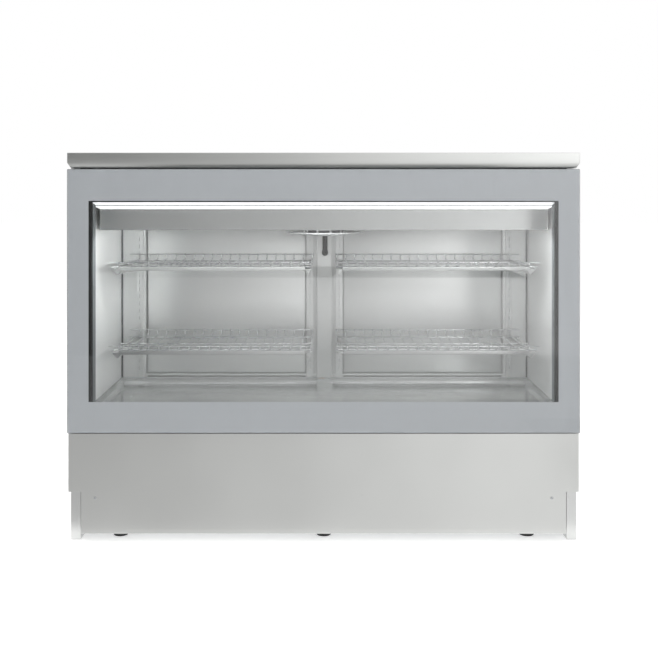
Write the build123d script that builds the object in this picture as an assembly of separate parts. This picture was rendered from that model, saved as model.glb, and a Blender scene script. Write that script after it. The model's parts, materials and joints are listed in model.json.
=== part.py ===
"""Refrigerated display counter: a glass-fronted, bar-height cooler with two hinged doors behind.

Millimetres. +X is to the customer's right, -Y is the customer's side, +Z is up.
The origin is on the floor, under the middle of the cabinet.
"""

import os

from build123d import *

# Driving dimensions of the whole counter
WIDTH = 1500.0
DEPTH = 600.0
HEIGHT = 1148.0
HALF_W = WIDTH / 2
HALF_D = DEPTH / 2

# Sheet thicknesses and the insulated walls
SHEET = 1.5
LINER = 1.2
WALL = 38.0
LINER_X = HALF_W - WALL
LEG_W = 28.0
LEG_X = HALF_W - LEG_W
CARCASS_X = LEG_X - 2.0
FIT = 0.2
PANEL_GAP = 0.1

# Levels, from the floor up
PANEL_FOOT = 1.0
BASE_Z = 30.0
DECK_Z = 329.5
DECK_TOP = DECK_Z + SHEET
TRAY_TOP = 354.0
CEILING_Z = 1050.0
BODY_TOP = 1100.0
WORKTOP_Z = 1104.0
WORKTOP_SHEET = 2.0
WORKTOP_RIM = 14.0
CHAMFER_Z = 1118.5
CHAMFER_W = 8.0
TRAY_RIM = TRAY_TOP + 30.0
COVE_R = 20.0
HEADER_Z = 1010.0

# Depths, from the customer's side to the back
PANEL_FRONT = -258.0
FRAME_FRONT = -264.7
FRAME_BACK = -209.0
REAR_INNER = 245.0
REAR_OUTER = 257.0

# Front glazing
GLASS_BOTTOM = 327.0
PANE = 6.0
PANE_GAP = 18.0
INNER_PANE = 5.0
PRINT = 0.4
CLEAR_X = 688.0
CLEAR_LOW = 418.0
CLEAR_HIGH = 1007.0
SPACER_W = 8.0
UNIT_LAP = 14.0
SPACER_LOW = 386.0
SPACER_HIGH = 1002.8

# Back frame and mullion
OPENING_IN = 63.0
OPENING_OUT = 626.0
OPENING_LOW = 396.0
OPENING_HIGH = 1000.0
RIDGE_X = 27.0
RIDGE_Y = 225.0
RIDGE_FOOT = 386.0
GROOVE = (385.5, 389.0)
GROOVE_DEPTH = 4.0

# Shelving
UPRIGHT_XS = (-647.0, -51.0, 51.0, 647.0)
UPRIGHT_W = 22.0
UPRIGHT_D = 10.0
UPRIGHT_Z = (385.0, 898.0)
SLOT_LOW = 412.0
SLOT_PITCH = 25.0
SLOTS = 19
SHELF_IN = 38.0
SHELF_OUT = 678.0
SHELF_FRONT = -99.0
SHELF_BACK = 225.0
SHELF_LEVELS = {"upper": 799.5, "lower": 536.0}
WIRES = 20
WIRE_IN = 42.0
WIRE_OUT = 645.0
WIRE_R = 2.3
RAIL_R = 2.8
LIP = 15.0
STOP = 21.0
BAR_H = 11.0
BAR_X = (60.0, 645.0)
NOSE_H = 17.0
NOSE_IN = 9.0
NOSE_OUT = 17.0

# Evaporator under the ceiling
VALANCE_Y = -119.0
HOUSING_BACK = 200.0
HOUSING_X = 699.0
HOUSING_Z = 915.0
EVAPORATOR_X = (175.0, 505.0)
EVAPORATOR_Y = (-70.0, 150.0)
EVAPORATOR_Z = (945.0, 1035.0)
VENT_XS = range(560, 681, 20)
VENT_Y = (-80.0, 160.0)
COIL_STUB = 8.0
TUBE_R = 5.0
FAN_R = 100.0
GUARD_R = 123.5
DRUM_R = 69.0
DRUM_WALL = 4.0
GUARD_DROP = 21.0
GUARD_SLATS = 10
GUARD_RINGS_Z = 901.5
INNER_RINGS = (21.0, 37.0, 53.0)
OUTER_RINGS = (85.0, 98.0, 111.0, GUARD_R)
RING_W = 3.0
RING_H = 3.0
VALANCE_R = 3.0
PROBE = (2.0, 213.5)
PROBE_Z = (822.5, 884.0)

# Doors
DOOR_IN = 3.0
DOOR_OUT = 745.0
DOOR_LOW = 338.0
DOOR_HIGH = 1094.0
DOOR_FACE = 262.0
PIVOT_X = 733.0
PIVOT_Y = 281.0
PIN_R = 4.0
PIN_LENGTH = 18.0
HINGE_X = (712.0, 746.0)
HINGE_PLATE = 4.0
RUNNING = 0.05
GASKET_W = 16.0
HANDLE_W = 42.0

# Machine compartment behind the fascia
FASCIA_Y = -290.0
FASCIA_STEP = 153.0
FASCIA_TOP_X = 749.0
FASCIA_LOW_X = 712.0
FOOT_XS = (-612.0, 0.0, 612.0)
FOOT_YS = (-208.0, 208.0)
FOOT_R = 22.5
STEM_R = 5.0
CONDENSER_X = (-520.0, -180.0)
CONDENSER_Y = (196.0, 240.0)
CONDENSER_Z = (46.0, 296.0)
MOTOR_X = -350.0
MOTOR_Z = 171.0
COMPRESSOR = (60.0, 40.0)
LOUVRE_XS = (-460.0, -350.0, -240.0)
LOUVRE_HALF = 48.0
LOUVRE_LOW = 60.0
LOUVRE_PITCH = 17.0
LOUVRE_H = 8.0
LOUVRE_ROWS = 14
TRAY_X = (170.0, 420.0)
TRAY_Y = (40.0, 220.0)
TRAY_HIGH = 90.0

# Lines that run down inside the mullion: X, Y and outer radius
DRAIN = (14.0, 235.0, 8.0)
SUCTION = (-5.0, 236.0, 5.0)
LIQUID = (-17.0, 236.0, 3.0)
DRAIN_Z = 927.0
LINES_Z = 1020.0

# Controls on the back panel
PANEL_X = (450.0, 670.0)
PANEL_Z = (205.0, 285.0)
KEY_XS = (553.0, 573.0, 593.0)
KEY_W = 12.0
KEY_H = 8.0
WINDOW_X = (470.0, 536.0)
WINDOW_H = 32.0
ROCKER_X = 638.0
ROCKER_HALF = 10.4
ROCKER_H = 29.0
WELL_HALF = 11.0
CONTROL_Z = 245.0
GLAND = (690.0, 75.0)
GLAND_BORE = 4.5


def block(x0, x1, y0, y1, z0, z1):
    """A box between two corners."""
    middle = Pos((x0 + x1) / 2, (y0 + y1) / 2, (z0 + z1) / 2)
    return middle * Box(abs(x1 - x0), abs(y1 - y0), abs(z1 - z0))


def rod(x, y, z0, z1, radius):
    """An upright cylinder from z0 to z1."""
    return Pos(x, y, (z0 + z1) / 2) * Cylinder(radius, z1 - z0)


def rod_x(x0, x1, y, z, radius):
    """A cylinder lying along X."""
    return Pos((x0 + x1) / 2, y, z) * Rot(0, 90, 0) * Cylinder(radius, x1 - x0)


def rod_y(x, y0, y1, z, radius):
    """A cylinder lying along Y."""
    return Pos(x, (y0 + y1) / 2, z) * Rot(90, 0, 0) * Cylinder(radius, y1 - y0)


def pipe(points, radius, bend):
    """A tube along straight runs joined by tangent arcs."""
    path = FilletPolyline(*points, radius=bend)
    section = Plane(origin=path @ 0, z_dir=path % 0) * Circle(radius)
    return sweep(section, path=path)


def mirrored(shape):
    """The same shape on the other side of the middle plane."""
    return mirror(shape, about=Plane.YZ)


def pair(shape):
    """A shape and its mirror image, as two separate solids."""
    return Compound(children=[*shape.solids(), *mirrored(shape).solids()])


def group(shapes):
    """Separate solids that share one node."""
    return Compound(children=[solid for shape in shapes for solid in shape.solids()])


def write(name, shape):
    """One STEP file per node."""
    export_step(shape, f"parts/{name}.step")


# The cabinet


def worktop_pan():
    """The worktop with its hollow underside, so that it has a rim and a thin top."""
    rim_x = HALF_W - WORKTOP_RIM
    rim_y = HALF_D - WORKTOP_RIM
    hollow = block(-rim_x, rim_x, -rim_y, rim_y, WORKTOP_Z - 1, HEIGHT - WORKTOP_SHEET)
    slab = block(-HALF_W, HALF_W, -HALF_D, HALF_D, WORKTOP_Z, HEIGHT)
    out, low = 5.0, BODY_TOP
    side_cut = Polygon((HALF_W, CHAMFER_Z), (HALF_W + out, CHAMFER_Z), (HALF_W + out, low),
                       (HALF_W - CHAMFER_W, low), (HALF_W - CHAMFER_W, WORKTOP_Z), align=None)
    front_cut = Polygon((-HALF_D, CHAMFER_Z), (-HALF_D - out, CHAMFER_Z), (-HALF_D - out, low),
                        (-HALF_D + CHAMFER_W, low), (-HALF_D + CHAMFER_W, WORKTOP_Z), align=None)
    side_chip = extrude(Plane.XZ * side_cut, amount=DEPTH, both=True)
    front_chip = extrude(Plane.YZ * front_cut, amount=WIDTH, both=True)
    return slab - side_chip - mirrored(side_chip) - front_chip - hollow


def side_panel():
    """Right side panel: a folded skin whose lower end is a closed box that stands as a leg."""
    skin = block(HALF_W - SHEET, HALF_W, PANEL_FRONT, REAR_OUTER, PANEL_FOOT, WORKTOP_Z)
    front = block(LEG_X, HALF_W, PANEL_FRONT, PANEL_FRONT + SHEET, PANEL_FOOT, WORKTOP_Z)
    rear = block(LEG_X, HALF_W, REAR_OUTER - SHEET, REAR_OUTER, PANEL_FOOT, WORKTOP_Z)
    inner = block(LEG_X - SHEET / 2, LEG_X + SHEET / 2, PANEL_FRONT, REAR_OUTER, PANEL_FOOT, DECK_Z)
    sole = block(LEG_X, HALF_W, PANEL_FRONT, REAR_OUTER, PANEL_FOOT, PANEL_FOOT + SHEET)
    return skin + front + rear + inner + sole


def outer_panels():
    """Both side panels and the deck under the insulated floor."""
    half = LEG_X - 1
    deck = block(-half, half, PANEL_FRONT + 2, REAR_OUTER - 2, DECK_Z, DECK_TOP)
    openings = [rod(x, y, DECK_Z - 5, DECK_TOP + 5, r + FIT) for x, y, r in (DRAIN, SUCTION, LIQUID)]
    for opening in openings:
        deck -= opening
    return group([side_panel(), mirrored(side_panel()), deck])


def cabinet_foam():
    """Poured insulation: two side walls, the ceiling and the floor, in one piece."""
    wall_in = LINER_X + LINER + PANEL_GAP
    wall_out = HALF_W - SHEET - PANEL_GAP
    back = REAR_INNER - PANEL_GAP
    side = block(wall_in, wall_out, FRAME_BACK + PANEL_GAP, back, DECK_TOP, BODY_TOP)
    front = FRAME_BACK + PANEL_GAP
    side += block(CARCASS_X + 0.5, wall_out, PANEL_FRONT + SHEET, FRAME_BACK + 5, DECK_TOP, BODY_TOP)
    low = block(-CARCASS_X, CARCASS_X, front, back, DECK_TOP, TRAY_TOP - LINER - PANEL_GAP)
    high = block(-CARCASS_X, CARCASS_X, front, back, CEILING_Z + LINER + PANEL_GAP, BODY_TOP)
    foam = low + high + side + mirrored(side)
    for x, y, radius in (DRAIN, SUCTION, LIQUID):
        foam -= rod(x, y, DECK_Z - 5, TRAY_TOP, radius + FIT)
    return foam


def inner_liner():
    """Stainless lining of the two side walls and the ceiling."""
    front = FRAME_BACK + PANEL_GAP
    back = REAR_INNER - PANEL_GAP
    side = block(LINER_X, LINER_X + LINER, front, back, TRAY_TOP - LINER, CEILING_Z - PANEL_GAP)
    ceiling = block(-LINER_X - LINER, LINER_X + LINER, front, back, CEILING_Z, CEILING_Z + LINER)
    return group([side, mirrored(side), ceiling])


def floor_tray():
    """Coved floor: one pressed tray, with a collar round the lines that run under the mullion."""
    edge_x = LINER_X - PANEL_GAP
    front = FRAME_BACK + PANEL_GAP
    back = REAR_INNER - PANEL_GAP
    outer = block(-edge_x, edge_x, front, back, TRAY_TOP - LINER, TRAY_RIM)
    inner = block(-edge_x + LINER, edge_x - LINER, front + LINER, back - LINER, TRAY_TOP, TRAY_RIM + 50)
    rounded = [e for e in inner.edges() if e.center().Z < TRAY_RIM]
    inner = fillet(rounded, radius=COVE_R)
    collar = block(-RIDGE_X, RIDGE_X, RIDGE_Y, back, TRAY_TOP - LINER, TRAY_RIM)
    collar = fillet(collar.edges().filter_by(Axis.Z).group_by(Axis.Y)[0], radius=2.0)
    shaft = block(-RIDGE_X + SHEET, RIDGE_X - SHEET, RIDGE_Y + SHEET, back - LINER, TRAY_TOP, TRAY_RIM + 5)
    tray = outer - inner + collar - shaft
    for x, y, radius in (DRAIN, SUCTION, LIQUID):
        tray -= rod(x, y, TRAY_TOP - 10, TRAY_RIM + 5, radius + FIT)
    return tray


def glazing_frame():
    """Header, sill and two posts that carry the sealed glass unit and back the printed border."""
    front = -HALF_D + PANE + PRINT + PANEL_GAP
    edge = CLEAR_X - PANEL_GAP
    unit_x = CLEAR_X + UNIT_LAP + 1
    unit_low = SPACER_LOW - UNIT_LAP - 1
    unit_high = SPACER_HIGH + UNIT_LAP + 1
    post = block(CLEAR_X, CARCASS_X, FRAME_FRONT, FRAME_BACK, DECK_TOP, BODY_TOP)
    post += block(unit_x, HALF_W - 1, front, PANEL_FRONT - PANEL_GAP, DECK_TOP, BODY_TOP)
    header = block(-edge, edge, FRAME_FRONT, FRAME_BACK, HEADER_Z, BODY_TOP)
    header += block(-edge, edge, front, FRAME_FRONT + 5, unit_high, BODY_TOP)
    sill = block(-edge, edge, FRAME_FRONT, FRAME_BACK, DECK_TOP, SPACER_LOW)
    sill += block(-edge, edge, front, FRAME_FRONT + 5, DECK_TOP, unit_low)
    return group([post, mirrored(post), header, sill])


def rear_frame():
    """Face frame that the door seals close on: two posts, a head and a sill."""
    post = block(OPENING_OUT, LEG_X - 0.5, REAR_INNER, REAR_OUTER, DECK_TOP, BODY_TOP)
    top = block(-OPENING_OUT, OPENING_OUT, REAR_INNER, REAR_OUTER, OPENING_HIGH, BODY_TOP)
    bottom = block(-OPENING_OUT, OPENING_OUT, REAR_INNER, REAR_OUTER, DECK_TOP, OPENING_LOW)
    groove_x = OPENING_OUT - 3
    groove = block(-groove_x, groove_x, REAR_INNER - 1, REAR_INNER + GROOVE_DEPTH, *GROOVE)
    return group([post, mirrored(post), top, bottom - groove])


def mullion():
    """Centre post: a hollow ridge, in which the drain and the refrigerant lines come down, and two wings."""
    low = OPENING_LOW + PANEL_GAP
    high = OPENING_HIGH - PANEL_GAP
    ridge = block(-RIDGE_X, RIDGE_X, RIDGE_Y, REAR_INNER - PANEL_GAP, RIDGE_FOOT, CEILING_Z - PANEL_GAP)
    ridge += block(-RIDGE_X, RIDGE_X, RIDGE_Y, REAR_OUTER, low, high)
    ridge = fillet(ridge.edges().filter_by(Axis.Z).group_by(Axis.Y)[0], radius=2.0)
    wing = block(RIDGE_X - 2, OPENING_IN, REAR_INNER, REAR_OUTER, low, high)
    inside = RIDGE_X - SHEET
    core = block(-inside, inside, RIDGE_Y + SHEET, REAR_INNER + 8, RIDGE_FOOT - 5, CEILING_Z + 5)
    post = ridge + wing + mirrored(wing) - core
    for z in (DRAIN_Z, LINES_Z):
        post -= block(-RIDGE_X + 4, RIDGE_X - 4, RIDGE_Y - 5, RIDGE_Y + 5, z - 28, z + 14)
    return post


# The front glazing


def front_glass_outer():
    """Outer pane, which runs over the whole front and covers the frame."""
    pane = block(-HALF_W, HALF_W, -HALF_D, -HALF_D + PANE, GLASS_BOTTOM, BODY_TOP)
    return fillet(pane.edges().filter_by(Axis.Y), radius=3.0)


def frame_ring(x, low, high, inner_x, inner_low, inner_high, y0, y1):
    """A flat rectangular ring, as a seal or a print is."""
    return block(-x, x, y0, y1, low, high) - block(-inner_x, inner_x, y0 - 1, y1 + 1, inner_low, inner_high)


def glass_border():
    """Grey enamel printed behind the outer pane, which hides the frame."""
    y0 = -HALF_D + PANE
    return frame_ring(HALF_W - 1, GLASS_BOTTOM + 1, BODY_TOP - 1,
                      CLEAR_X, CLEAR_LOW, CLEAR_HIGH, y0, y0 + PRINT)


def glass_spacer():
    """Black spacer bar that seals the gap between the panes."""
    y0 = -HALF_D + PANE + PRINT
    y1 = y0 + PANE_GAP - PRINT
    return frame_ring(CLEAR_X + UNIT_LAP, SPACER_LOW - UNIT_LAP, SPACER_HIGH + UNIT_LAP,
                      CLEAR_X - SPACER_W, SPACER_LOW, SPACER_HIGH, y0, y1)


def front_glass_inner():
    """Inner pane of the sealed unit."""
    y0 = -HALF_D + PANE + PANE_GAP
    half = CLEAR_X + UNIT_LAP
    return block(-half, half, y0, y0 + INNER_PANE, SPACER_LOW - UNIT_LAP, SPACER_HIGH + UNIT_LAP)


# The lamp behind the header


def lamp_diffuser():
    """Two opal strips that slope back from the glass to the evaporator's front edge."""
    profile = ((FRAME_FRONT + 0.5, 1003), (FRAME_BACK - 0.5, 993.4))
    rear = ((FRAME_BACK + 1.5, 992.6), (VALANCE_Y - 0.5, 980.0))
    strips = []
    for (y0, z0), (y1, z1) in (profile, rear):
        outline = Polygon((y0, z0), (y1, z1), (y1, z1 + 3), (y0, z0 + 3), align=None)
        half = CLEAR_X - 0.5 if y0 < FRAME_BACK else LINER_X - 14
        strips.append(extrude(Plane.YZ * outline, amount=half, both=True))
    return group(strips)


def led_strip():
    """Lamp board on its aluminium channel, under the header."""
    channel = block(-670, 670, -250, -222, 1006, 1009.8)
    board = block(-665, 665, -242, -230, 1004.4, 1006)
    return channel + board


# The evaporator under the ceiling


def evaporator_housing():
    """Folded tray that hangs from the ceiling: front valance, bottom with the fan's opening, back and ends."""
    outer = block(-HOUSING_X, HOUSING_X, VALANCE_Y, HOUSING_BACK, HOUSING_Z, CEILING_Z - PANEL_GAP)
    inner = block(-HOUSING_X + SHEET, HOUSING_X - SHEET, VALANCE_Y + SHEET, HOUSING_BACK - SHEET,
                  HOUSING_Z + SHEET, CEILING_Z + 5)
    outer = fillet(outer.edges().filter_by(Axis.Z).group_by(Axis.Y)[0], radius=VALANCE_R)
    inner = fillet(inner.edges().filter_by(Axis.Z).group_by(Axis.Y)[0], radius=VALANCE_R - SHEET)
    tray = outer - inner - rod(0, 0, HOUSING_Z - 5, HOUSING_Z + 5, FAN_R + 6)
    for x in VENT_XS:
        slot = block(x - 4, x + 4, *VENT_Y, HOUSING_Z - 5, HOUSING_Z + 5)
        tray = tray - slot - mirrored(slot)
    for (x, _, radius), z in ((DRAIN, DRAIN_Z), (SUCTION, LINES_Z), (LIQUID, LINES_Z)):
        tray -= rod_y(x, HOUSING_BACK - 5, HOUSING_BACK + 5, z, radius + FIT)
    return tray


def finned_coil(x_span, y_span, z_span, fins, tube_pitch):
    """Finned heat exchanger: plates threaded on rows of tubes, with a thicker plate at each end."""
    x0, x1 = x_span
    z0, z1 = z_span
    plates = None
    for i in range(fins):
        x = x0 + (x1 - x0) * i / (fins - 1)
        half = 1.5 if i in (0, fins - 1) else 0.5
        plate = block(x - half, x + half, *y_span, z0, z1)
        plates = plate if plates is None else plates + plate
    rows = int((z1 - z0) // tube_pitch)
    for row in range(rows):
        z = z0 + (z1 - z0) * (row + 0.5) / rows
        plates += rod_x(x0 - COIL_STUB, x1 + COIL_STUB, sum(y_span) / 2, z, TUBE_R)
    return plates


def evaporator_coil():
    """One finned block on each side of the fan."""
    return pair(finned_coil(EVAPORATOR_X, EVAPORATOR_Y, EVAPORATOR_Z, 23, 30))


def evaporator_fan_motor():
    """Fan motor on its post under the ceiling, with its shaft pointing down."""
    body = rod(0, 0, 972, 1022, 38) + rod(0, 0, 1022, CEILING_Z - PANEL_GAP, 22)
    body = fillet(body.edges().filter_by(GeomType.CIRCLE).group_by(Axis.Z)[0], radius=4)
    return body + rod(0, 0, 938, 980, 3.0)


def fan_blades(radius, hub_r, hub_h, blades, pitch, bore):
    """Axial fan about +Z, centred on the origin: a hub with a bore and pitched blades."""
    fan = rod(0, 0, -hub_h / 2, hub_h / 2, hub_r)
    reach = Cylinder(radius, hub_h * 3)
    for i in range(blades):
        plate = Pos(radius / 2, 0, 0) * Rot(pitch, 0, 0) * Box(radius * 1.2, radius * 0.55, 2.0)
        blade = plate & reach
        fan += Rot(0, 0, 360 * i / blades) * (blade - rod(0, 0, -60, 60, hub_r - 3))
        fan = fan.clean()
    return fan - rod(0, 0, -hub_h, hub_h, bore)


def evaporator_fan_blades():
    """Fan that draws air up through the guard."""
    return Pos(0, 0, 950) * fan_blades(FAN_R - 4, 32, 24, 5, 24, 3.0 + RUNNING)


def guard_ring(radius, width, z, height):
    """One flat ring of the fan guard, about the fan's axis."""
    return rod(0, 0, z, z + height, radius) - rod(0, 0, z - 1, z + height + 1, radius - width)


def evaporator_fan_guard():
    """Round guard: a short slatted drum, rings across its lower end, and wider rings at half its height."""
    low = HOUSING_Z - GUARD_DROP
    guard = guard_ring(DRUM_R, DRUM_WALL, HOUSING_Z - 4, 4) + guard_ring(DRUM_R, DRUM_WALL, low, 4)
    for radius in INNER_RINGS:
        guard += guard_ring(radius, RING_W, low, RING_H)
    for radius in OUTER_RINGS:
        guard += guard_ring(radius, RING_W, GUARD_RINGS_Z, RING_H)
    turn = 360 / GUARD_SLATS
    for i in range(GUARD_SLATS):
        spoke = block(INNER_RINGS[0] - RING_W, DRUM_R - 1, -1.5, 1.5, low, low + RING_H)
        slat = block(DRUM_R - DRUM_WALL, DRUM_R - 0.5, -3, 3, low, HOUSING_Z)
        arm = block(DRUM_R - 3, GUARD_R - 1, -2.5, 2.5, GUARD_RINGS_Z, GUARD_RINGS_Z + RING_H)
        guard += Rot(0, 0, turn * i) * (spoke + slat + arm)
    return guard


def temperature_probe():
    """Sensor in its black sleeve, clipped to the front of the mullion."""
    x, y = PROBE
    low, high = PROBE_Z
    sleeve = rod(x, y, low, high, 8.5)
    bulb = Pos(x, y, low) * Sphere(10.5)
    clip = block(x - 5, x + 5, y + 4, RIDGE_Y - 0.05, high - 16, high - 4)
    lead_z = HOUSING_Z + 7.5
    lead = rod(x, y, high - 1, lead_z + 2.5, 2.5)
    lead += block(x - 2.5, x + 2.5, HOUSING_BACK + 0.05, y, lead_z - 2.5, lead_z + 2.5)
    return sleeve + bulb + clip + lead


def drain_pipe():
    """Defrost drain from the evaporator's tray, down inside the mullion to the condensate tray."""
    x, y, radius = DRAIN
    route = [(x, HOUSING_BACK - 10, DRAIN_Z), (x, y, DRAIN_Z), (x, y, 200), (150, y, 170), (250, 150, 120)]
    return pipe(route, radius, 14)


# The back frame's shelving


def shelf_uprights():
    """Slotted strips on the back frame and the mullion's wings, which carry the brackets."""
    strips = []
    face = REAR_INNER - UPRIGHT_D
    for x in UPRIGHT_XS:
        strip = block(x - UPRIGHT_W / 2, x + UPRIGHT_W / 2, face, REAR_INNER - PANEL_GAP, *UPRIGHT_Z)
        slots = None
        for i in range(SLOTS):
            z = SLOT_LOW + SLOT_PITCH * i
            slot = block(x - 2.5, x + 2.5, face - 1, REAR_INNER - 3, z, z + 14)
            slots = slot if slots is None else slots + slot
        strips.append(strip - slots)
    return group(strips)


def shelf_brackets():
    """Cantilever brackets, hooked into the uprights: two under each shelf."""
    blades = []
    tip = SHELF_FRONT + 8
    root = REAR_INNER - UPRIGHT_D - PANEL_GAP
    for level in SHELF_LEVELS.values():
        top = level - WIRE_R - 2 * RAIL_R - 0.3
        outline = Polygon((root, top), (tip, top), (tip, top - NOSE_H), (root - 40, top - 30), (root, top - 34),
                          align=None)
        for x in UPRIGHT_XS:
            outer = abs(x) > WIRE_OUT / 2
            wide = NOSE_OUT if outer else NOSE_IN
            outward = 3 if outer else -1
            lean = x + (outward if x > 0 else -outward)
            blade = extrude(Plane.YZ.offset(lean) * outline, amount=1.5, both=True)
            flange = block(lean - wide, lean + wide, tip, root - 15, top - 2, top)
            front = Polygon((lean - wide, top), (lean + wide, top), (lean + 1.5, top - NOSE_H),
                            (lean - 1.5, top - NOSE_H), align=None)
            nose = extrude(Plane.XZ.offset(-tip) * front, amount=-2)
            blades.append(blade + flange + nose)
    return group(blades)


def wire_shelf(level):
    """Right wire shelf: bent wires with a front lip and a back stop, on cross rails and a flat bar."""
    lip_top = level + LIP
    stop_top = level + STOP
    pitch = (WIRE_OUT - WIRE_IN) / (WIRES - 1)
    shelf = None
    for x in [WIRE_IN + pitch * i for i in range(WIRES)]:
        route = [(x, SHELF_FRONT + WIRE_R, lip_top), (x, SHELF_FRONT + WIRE_R, level),
                 (x, SHELF_BACK - WIRE_R, level), (x, SHELF_BACK - WIRE_R, stop_top)]
        wire = pipe(route, WIRE_R, 5)
        shelf = wire if shelf is None else shelf + wire
    under = level - WIRE_R - RAIL_R + 0.6
    behind = WIRE_R + 3.6
    rails = [(SHELF_FRONT + behind, lip_top - 3), (SHELF_BACK - behind, stop_top - 3),
             (SHELF_FRONT + 40, under), (60, under), (SHELF_BACK - 26, under)]
    for y, z in rails:
        shelf += rod_x(SHELF_IN, SHELF_OUT, y, z, RAIL_R)
    bar = block(*BAR_X, SHELF_FRONT + 2.6, SHELF_FRONT + 5.6, level - WIRE_R - BAR_H, level - WIRE_R + 0.8)
    return shelf + bar


# The doors


def door_skin():
    """Right door, outer steel pan with its four edges turned in."""
    outer = block(DOOR_IN + HANDLE_W, DOOR_OUT, DOOR_FACE, HALF_D, DOOR_LOW, DOOR_HIGH)
    hollow = block(DOOR_IN + HANDLE_W - 5, DOOR_OUT - LINER, DOOR_FACE - 1, HALF_D - LINER,
                   DOOR_LOW + LINER, DOOR_HIGH - LINER)
    return outer - hollow - rod(PIVOT_X, PIVOT_Y, DOOR_LOW - 5, DOOR_HIGH + 5, PIN_R + RUNNING)


def door_foam():
    """Right door, insulating core, with a blind hole for each pivot pin."""
    core = block(DOOR_IN + HANDLE_W + PANEL_GAP, DOOR_OUT - LINER - PANEL_GAP,
                 DOOR_FACE + LINER + PANEL_GAP, HALF_D - LINER - PANEL_GAP,
                 DOOR_LOW + LINER + PANEL_GAP, DOOR_HIGH - LINER - PANEL_GAP)
    core -= rod(PIVOT_X, PIVOT_Y, DOOR_LOW, DOOR_LOW + 22, PIN_R + RUNNING)
    return core - rod(PIVOT_X, PIVOT_Y, DOOR_HIGH - 22, DOOR_HIGH, PIN_R + RUNNING)


def door_liner():
    """Right door, inner stainless sheet."""
    return block(DOOR_IN + HANDLE_W + PANEL_GAP, DOOR_OUT - LINER - PANEL_GAP, DOOR_FACE, DOOR_FACE + LINER,
                 DOOR_LOW + LINER + PANEL_GAP, DOOR_HIGH - LINER - PANEL_GAP)


def door_gasket():
    """Right door, magnetic seal round the opening, just clear of the face frame."""
    x0, x1 = 46.0, OPENING_OUT + 24
    z0, z1 = OPENING_LOW - 24, OPENING_HIGH + 24
    y0, y1 = REAR_OUTER + 0.3, DOOR_FACE
    ring = block(x0, x1, y0, y1, z0, z1)
    ring -= block(x0 + GASKET_W, x1 - GASKET_W, y0 - 1, y1 + 1, z0 + GASKET_W, z1 - GASKET_W)
    return ring


def door_handle():
    """Right door, full-height grip profile whose undercut groove takes the fingers."""
    x0, x1 = DOOR_IN, DOOR_IN + HANDLE_W - PANEL_GAP
    y0, y1 = DOOR_FACE, HALF_D
    outline = Polygon((x0, y0), (x1, y0), (x1, y1), (x1 - 5, y1), (x1 - 5, y0 + 10), (x0 + 5, y0 + 10),
                      (x0 + 5, y1 - 8), (x0 + 14, y1 - 8), (x0 + 14, y1), (x0, y1), align=None)
    return Pos(0, 0, DOOR_LOW) * extrude(outline, amount=DOOR_HIGH - DOOR_LOW)


def hinge_brackets():
    """Pivot brackets at the cabinet's back corners: a wall plate, a shelf and its pin, twice each side."""
    x0, x1 = HINGE_X
    tip = PIVOT_Y + 12
    low_top = DOOR_LOW - 1
    low_plate = block(x0, x1, REAR_OUTER + 2, tip, low_top - HINGE_PLATE, low_top)
    low_plate += block(x0, x1, REAR_OUTER, REAR_OUTER + 3, low_top - 39, low_top)
    low_plate += rod(PIVOT_X, PIVOT_Y, low_top - 2, low_top + 1 + PIN_LENGTH, PIN_R)
    high_foot = DOOR_HIGH + 1
    high_plate = block(x0, x1, REAR_OUTER + 2, tip, high_foot, high_foot + HINGE_PLATE)
    high_plate += block(x0, x1, REAR_OUTER, REAR_OUTER + 3, high_foot, high_foot + 7)
    high_plate += rod(PIVOT_X, PIVOT_Y, high_foot - 1 - PIN_LENGTH, high_foot + 2, PIN_R)
    return group([low_plate, high_plate, mirrored(low_plate), mirrored(high_plate)])


# The base


def front_fascia():
    """Stainless front of the base, narrower between the legs, with its edges turned back."""
    y1 = PANEL_FRONT - 0.5
    upper = block(-FASCIA_TOP_X, FASCIA_TOP_X, FASCIA_Y, y1, FASCIA_STEP, GLASS_BOTTOM - 3)
    lower = block(-FASCIA_LOW_X, FASCIA_LOW_X, FASCIA_Y, y1, BASE_Z, FASCIA_STEP + 1)
    hollow_up = block(-FASCIA_TOP_X + SHEET, FASCIA_TOP_X - SHEET, FASCIA_Y + SHEET, y1 + 5,
                      FASCIA_STEP + SHEET, GLASS_BOTTOM - 3 - SHEET)
    hollow_low = block(-FASCIA_LOW_X + SHEET, FASCIA_LOW_X - SHEET, FASCIA_Y + SHEET, y1 + 5,
                       BASE_Z + SHEET, FASCIA_STEP + 5)
    return upper + lower - hollow_up - hollow_low


def base_pan():
    """Folded tray that carries the condensing unit, with a threaded boss over each foot."""
    half = CARCASS_X
    y0, y1 = PANEL_FRONT + 0.5, REAR_OUTER - SHEET - 0.5
    pan = block(-half, half, y0, y1, BASE_Z, BASE_Z + SHEET)
    pan += block(-half, half, y0, y0 + SHEET, BASE_Z, BASE_Z + 25)
    pan += block(-half, -half + SHEET, y0, y1, BASE_Z, BASE_Z + 25)
    pan += block(half - SHEET, half, y0, y1, BASE_Z, BASE_Z + 25)
    for x in FOOT_XS:
        for y in FOOT_YS:
            pan += rod(x, y, BASE_Z, BASE_Z + 14, 13)
            pan -= rod(x, y, BASE_Z - 5, BASE_Z + 20, STEM_R + RUNNING)
    return pan


def levelling_foot(x, y):
    """Screw foot: a round pad under a threaded stem."""
    pad = rod(x, y, 0, 12, FOOT_R)
    pad = chamfer(pad.edges().group_by(Axis.Z)[-1], length=5.0)
    pad = chamfer(pad.edges().group_by(Axis.Z)[0], length=1.0)
    return pad + rod(x, y, 10, 20, 9) + rod(x, y, 15, 60, STEM_R)


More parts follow.
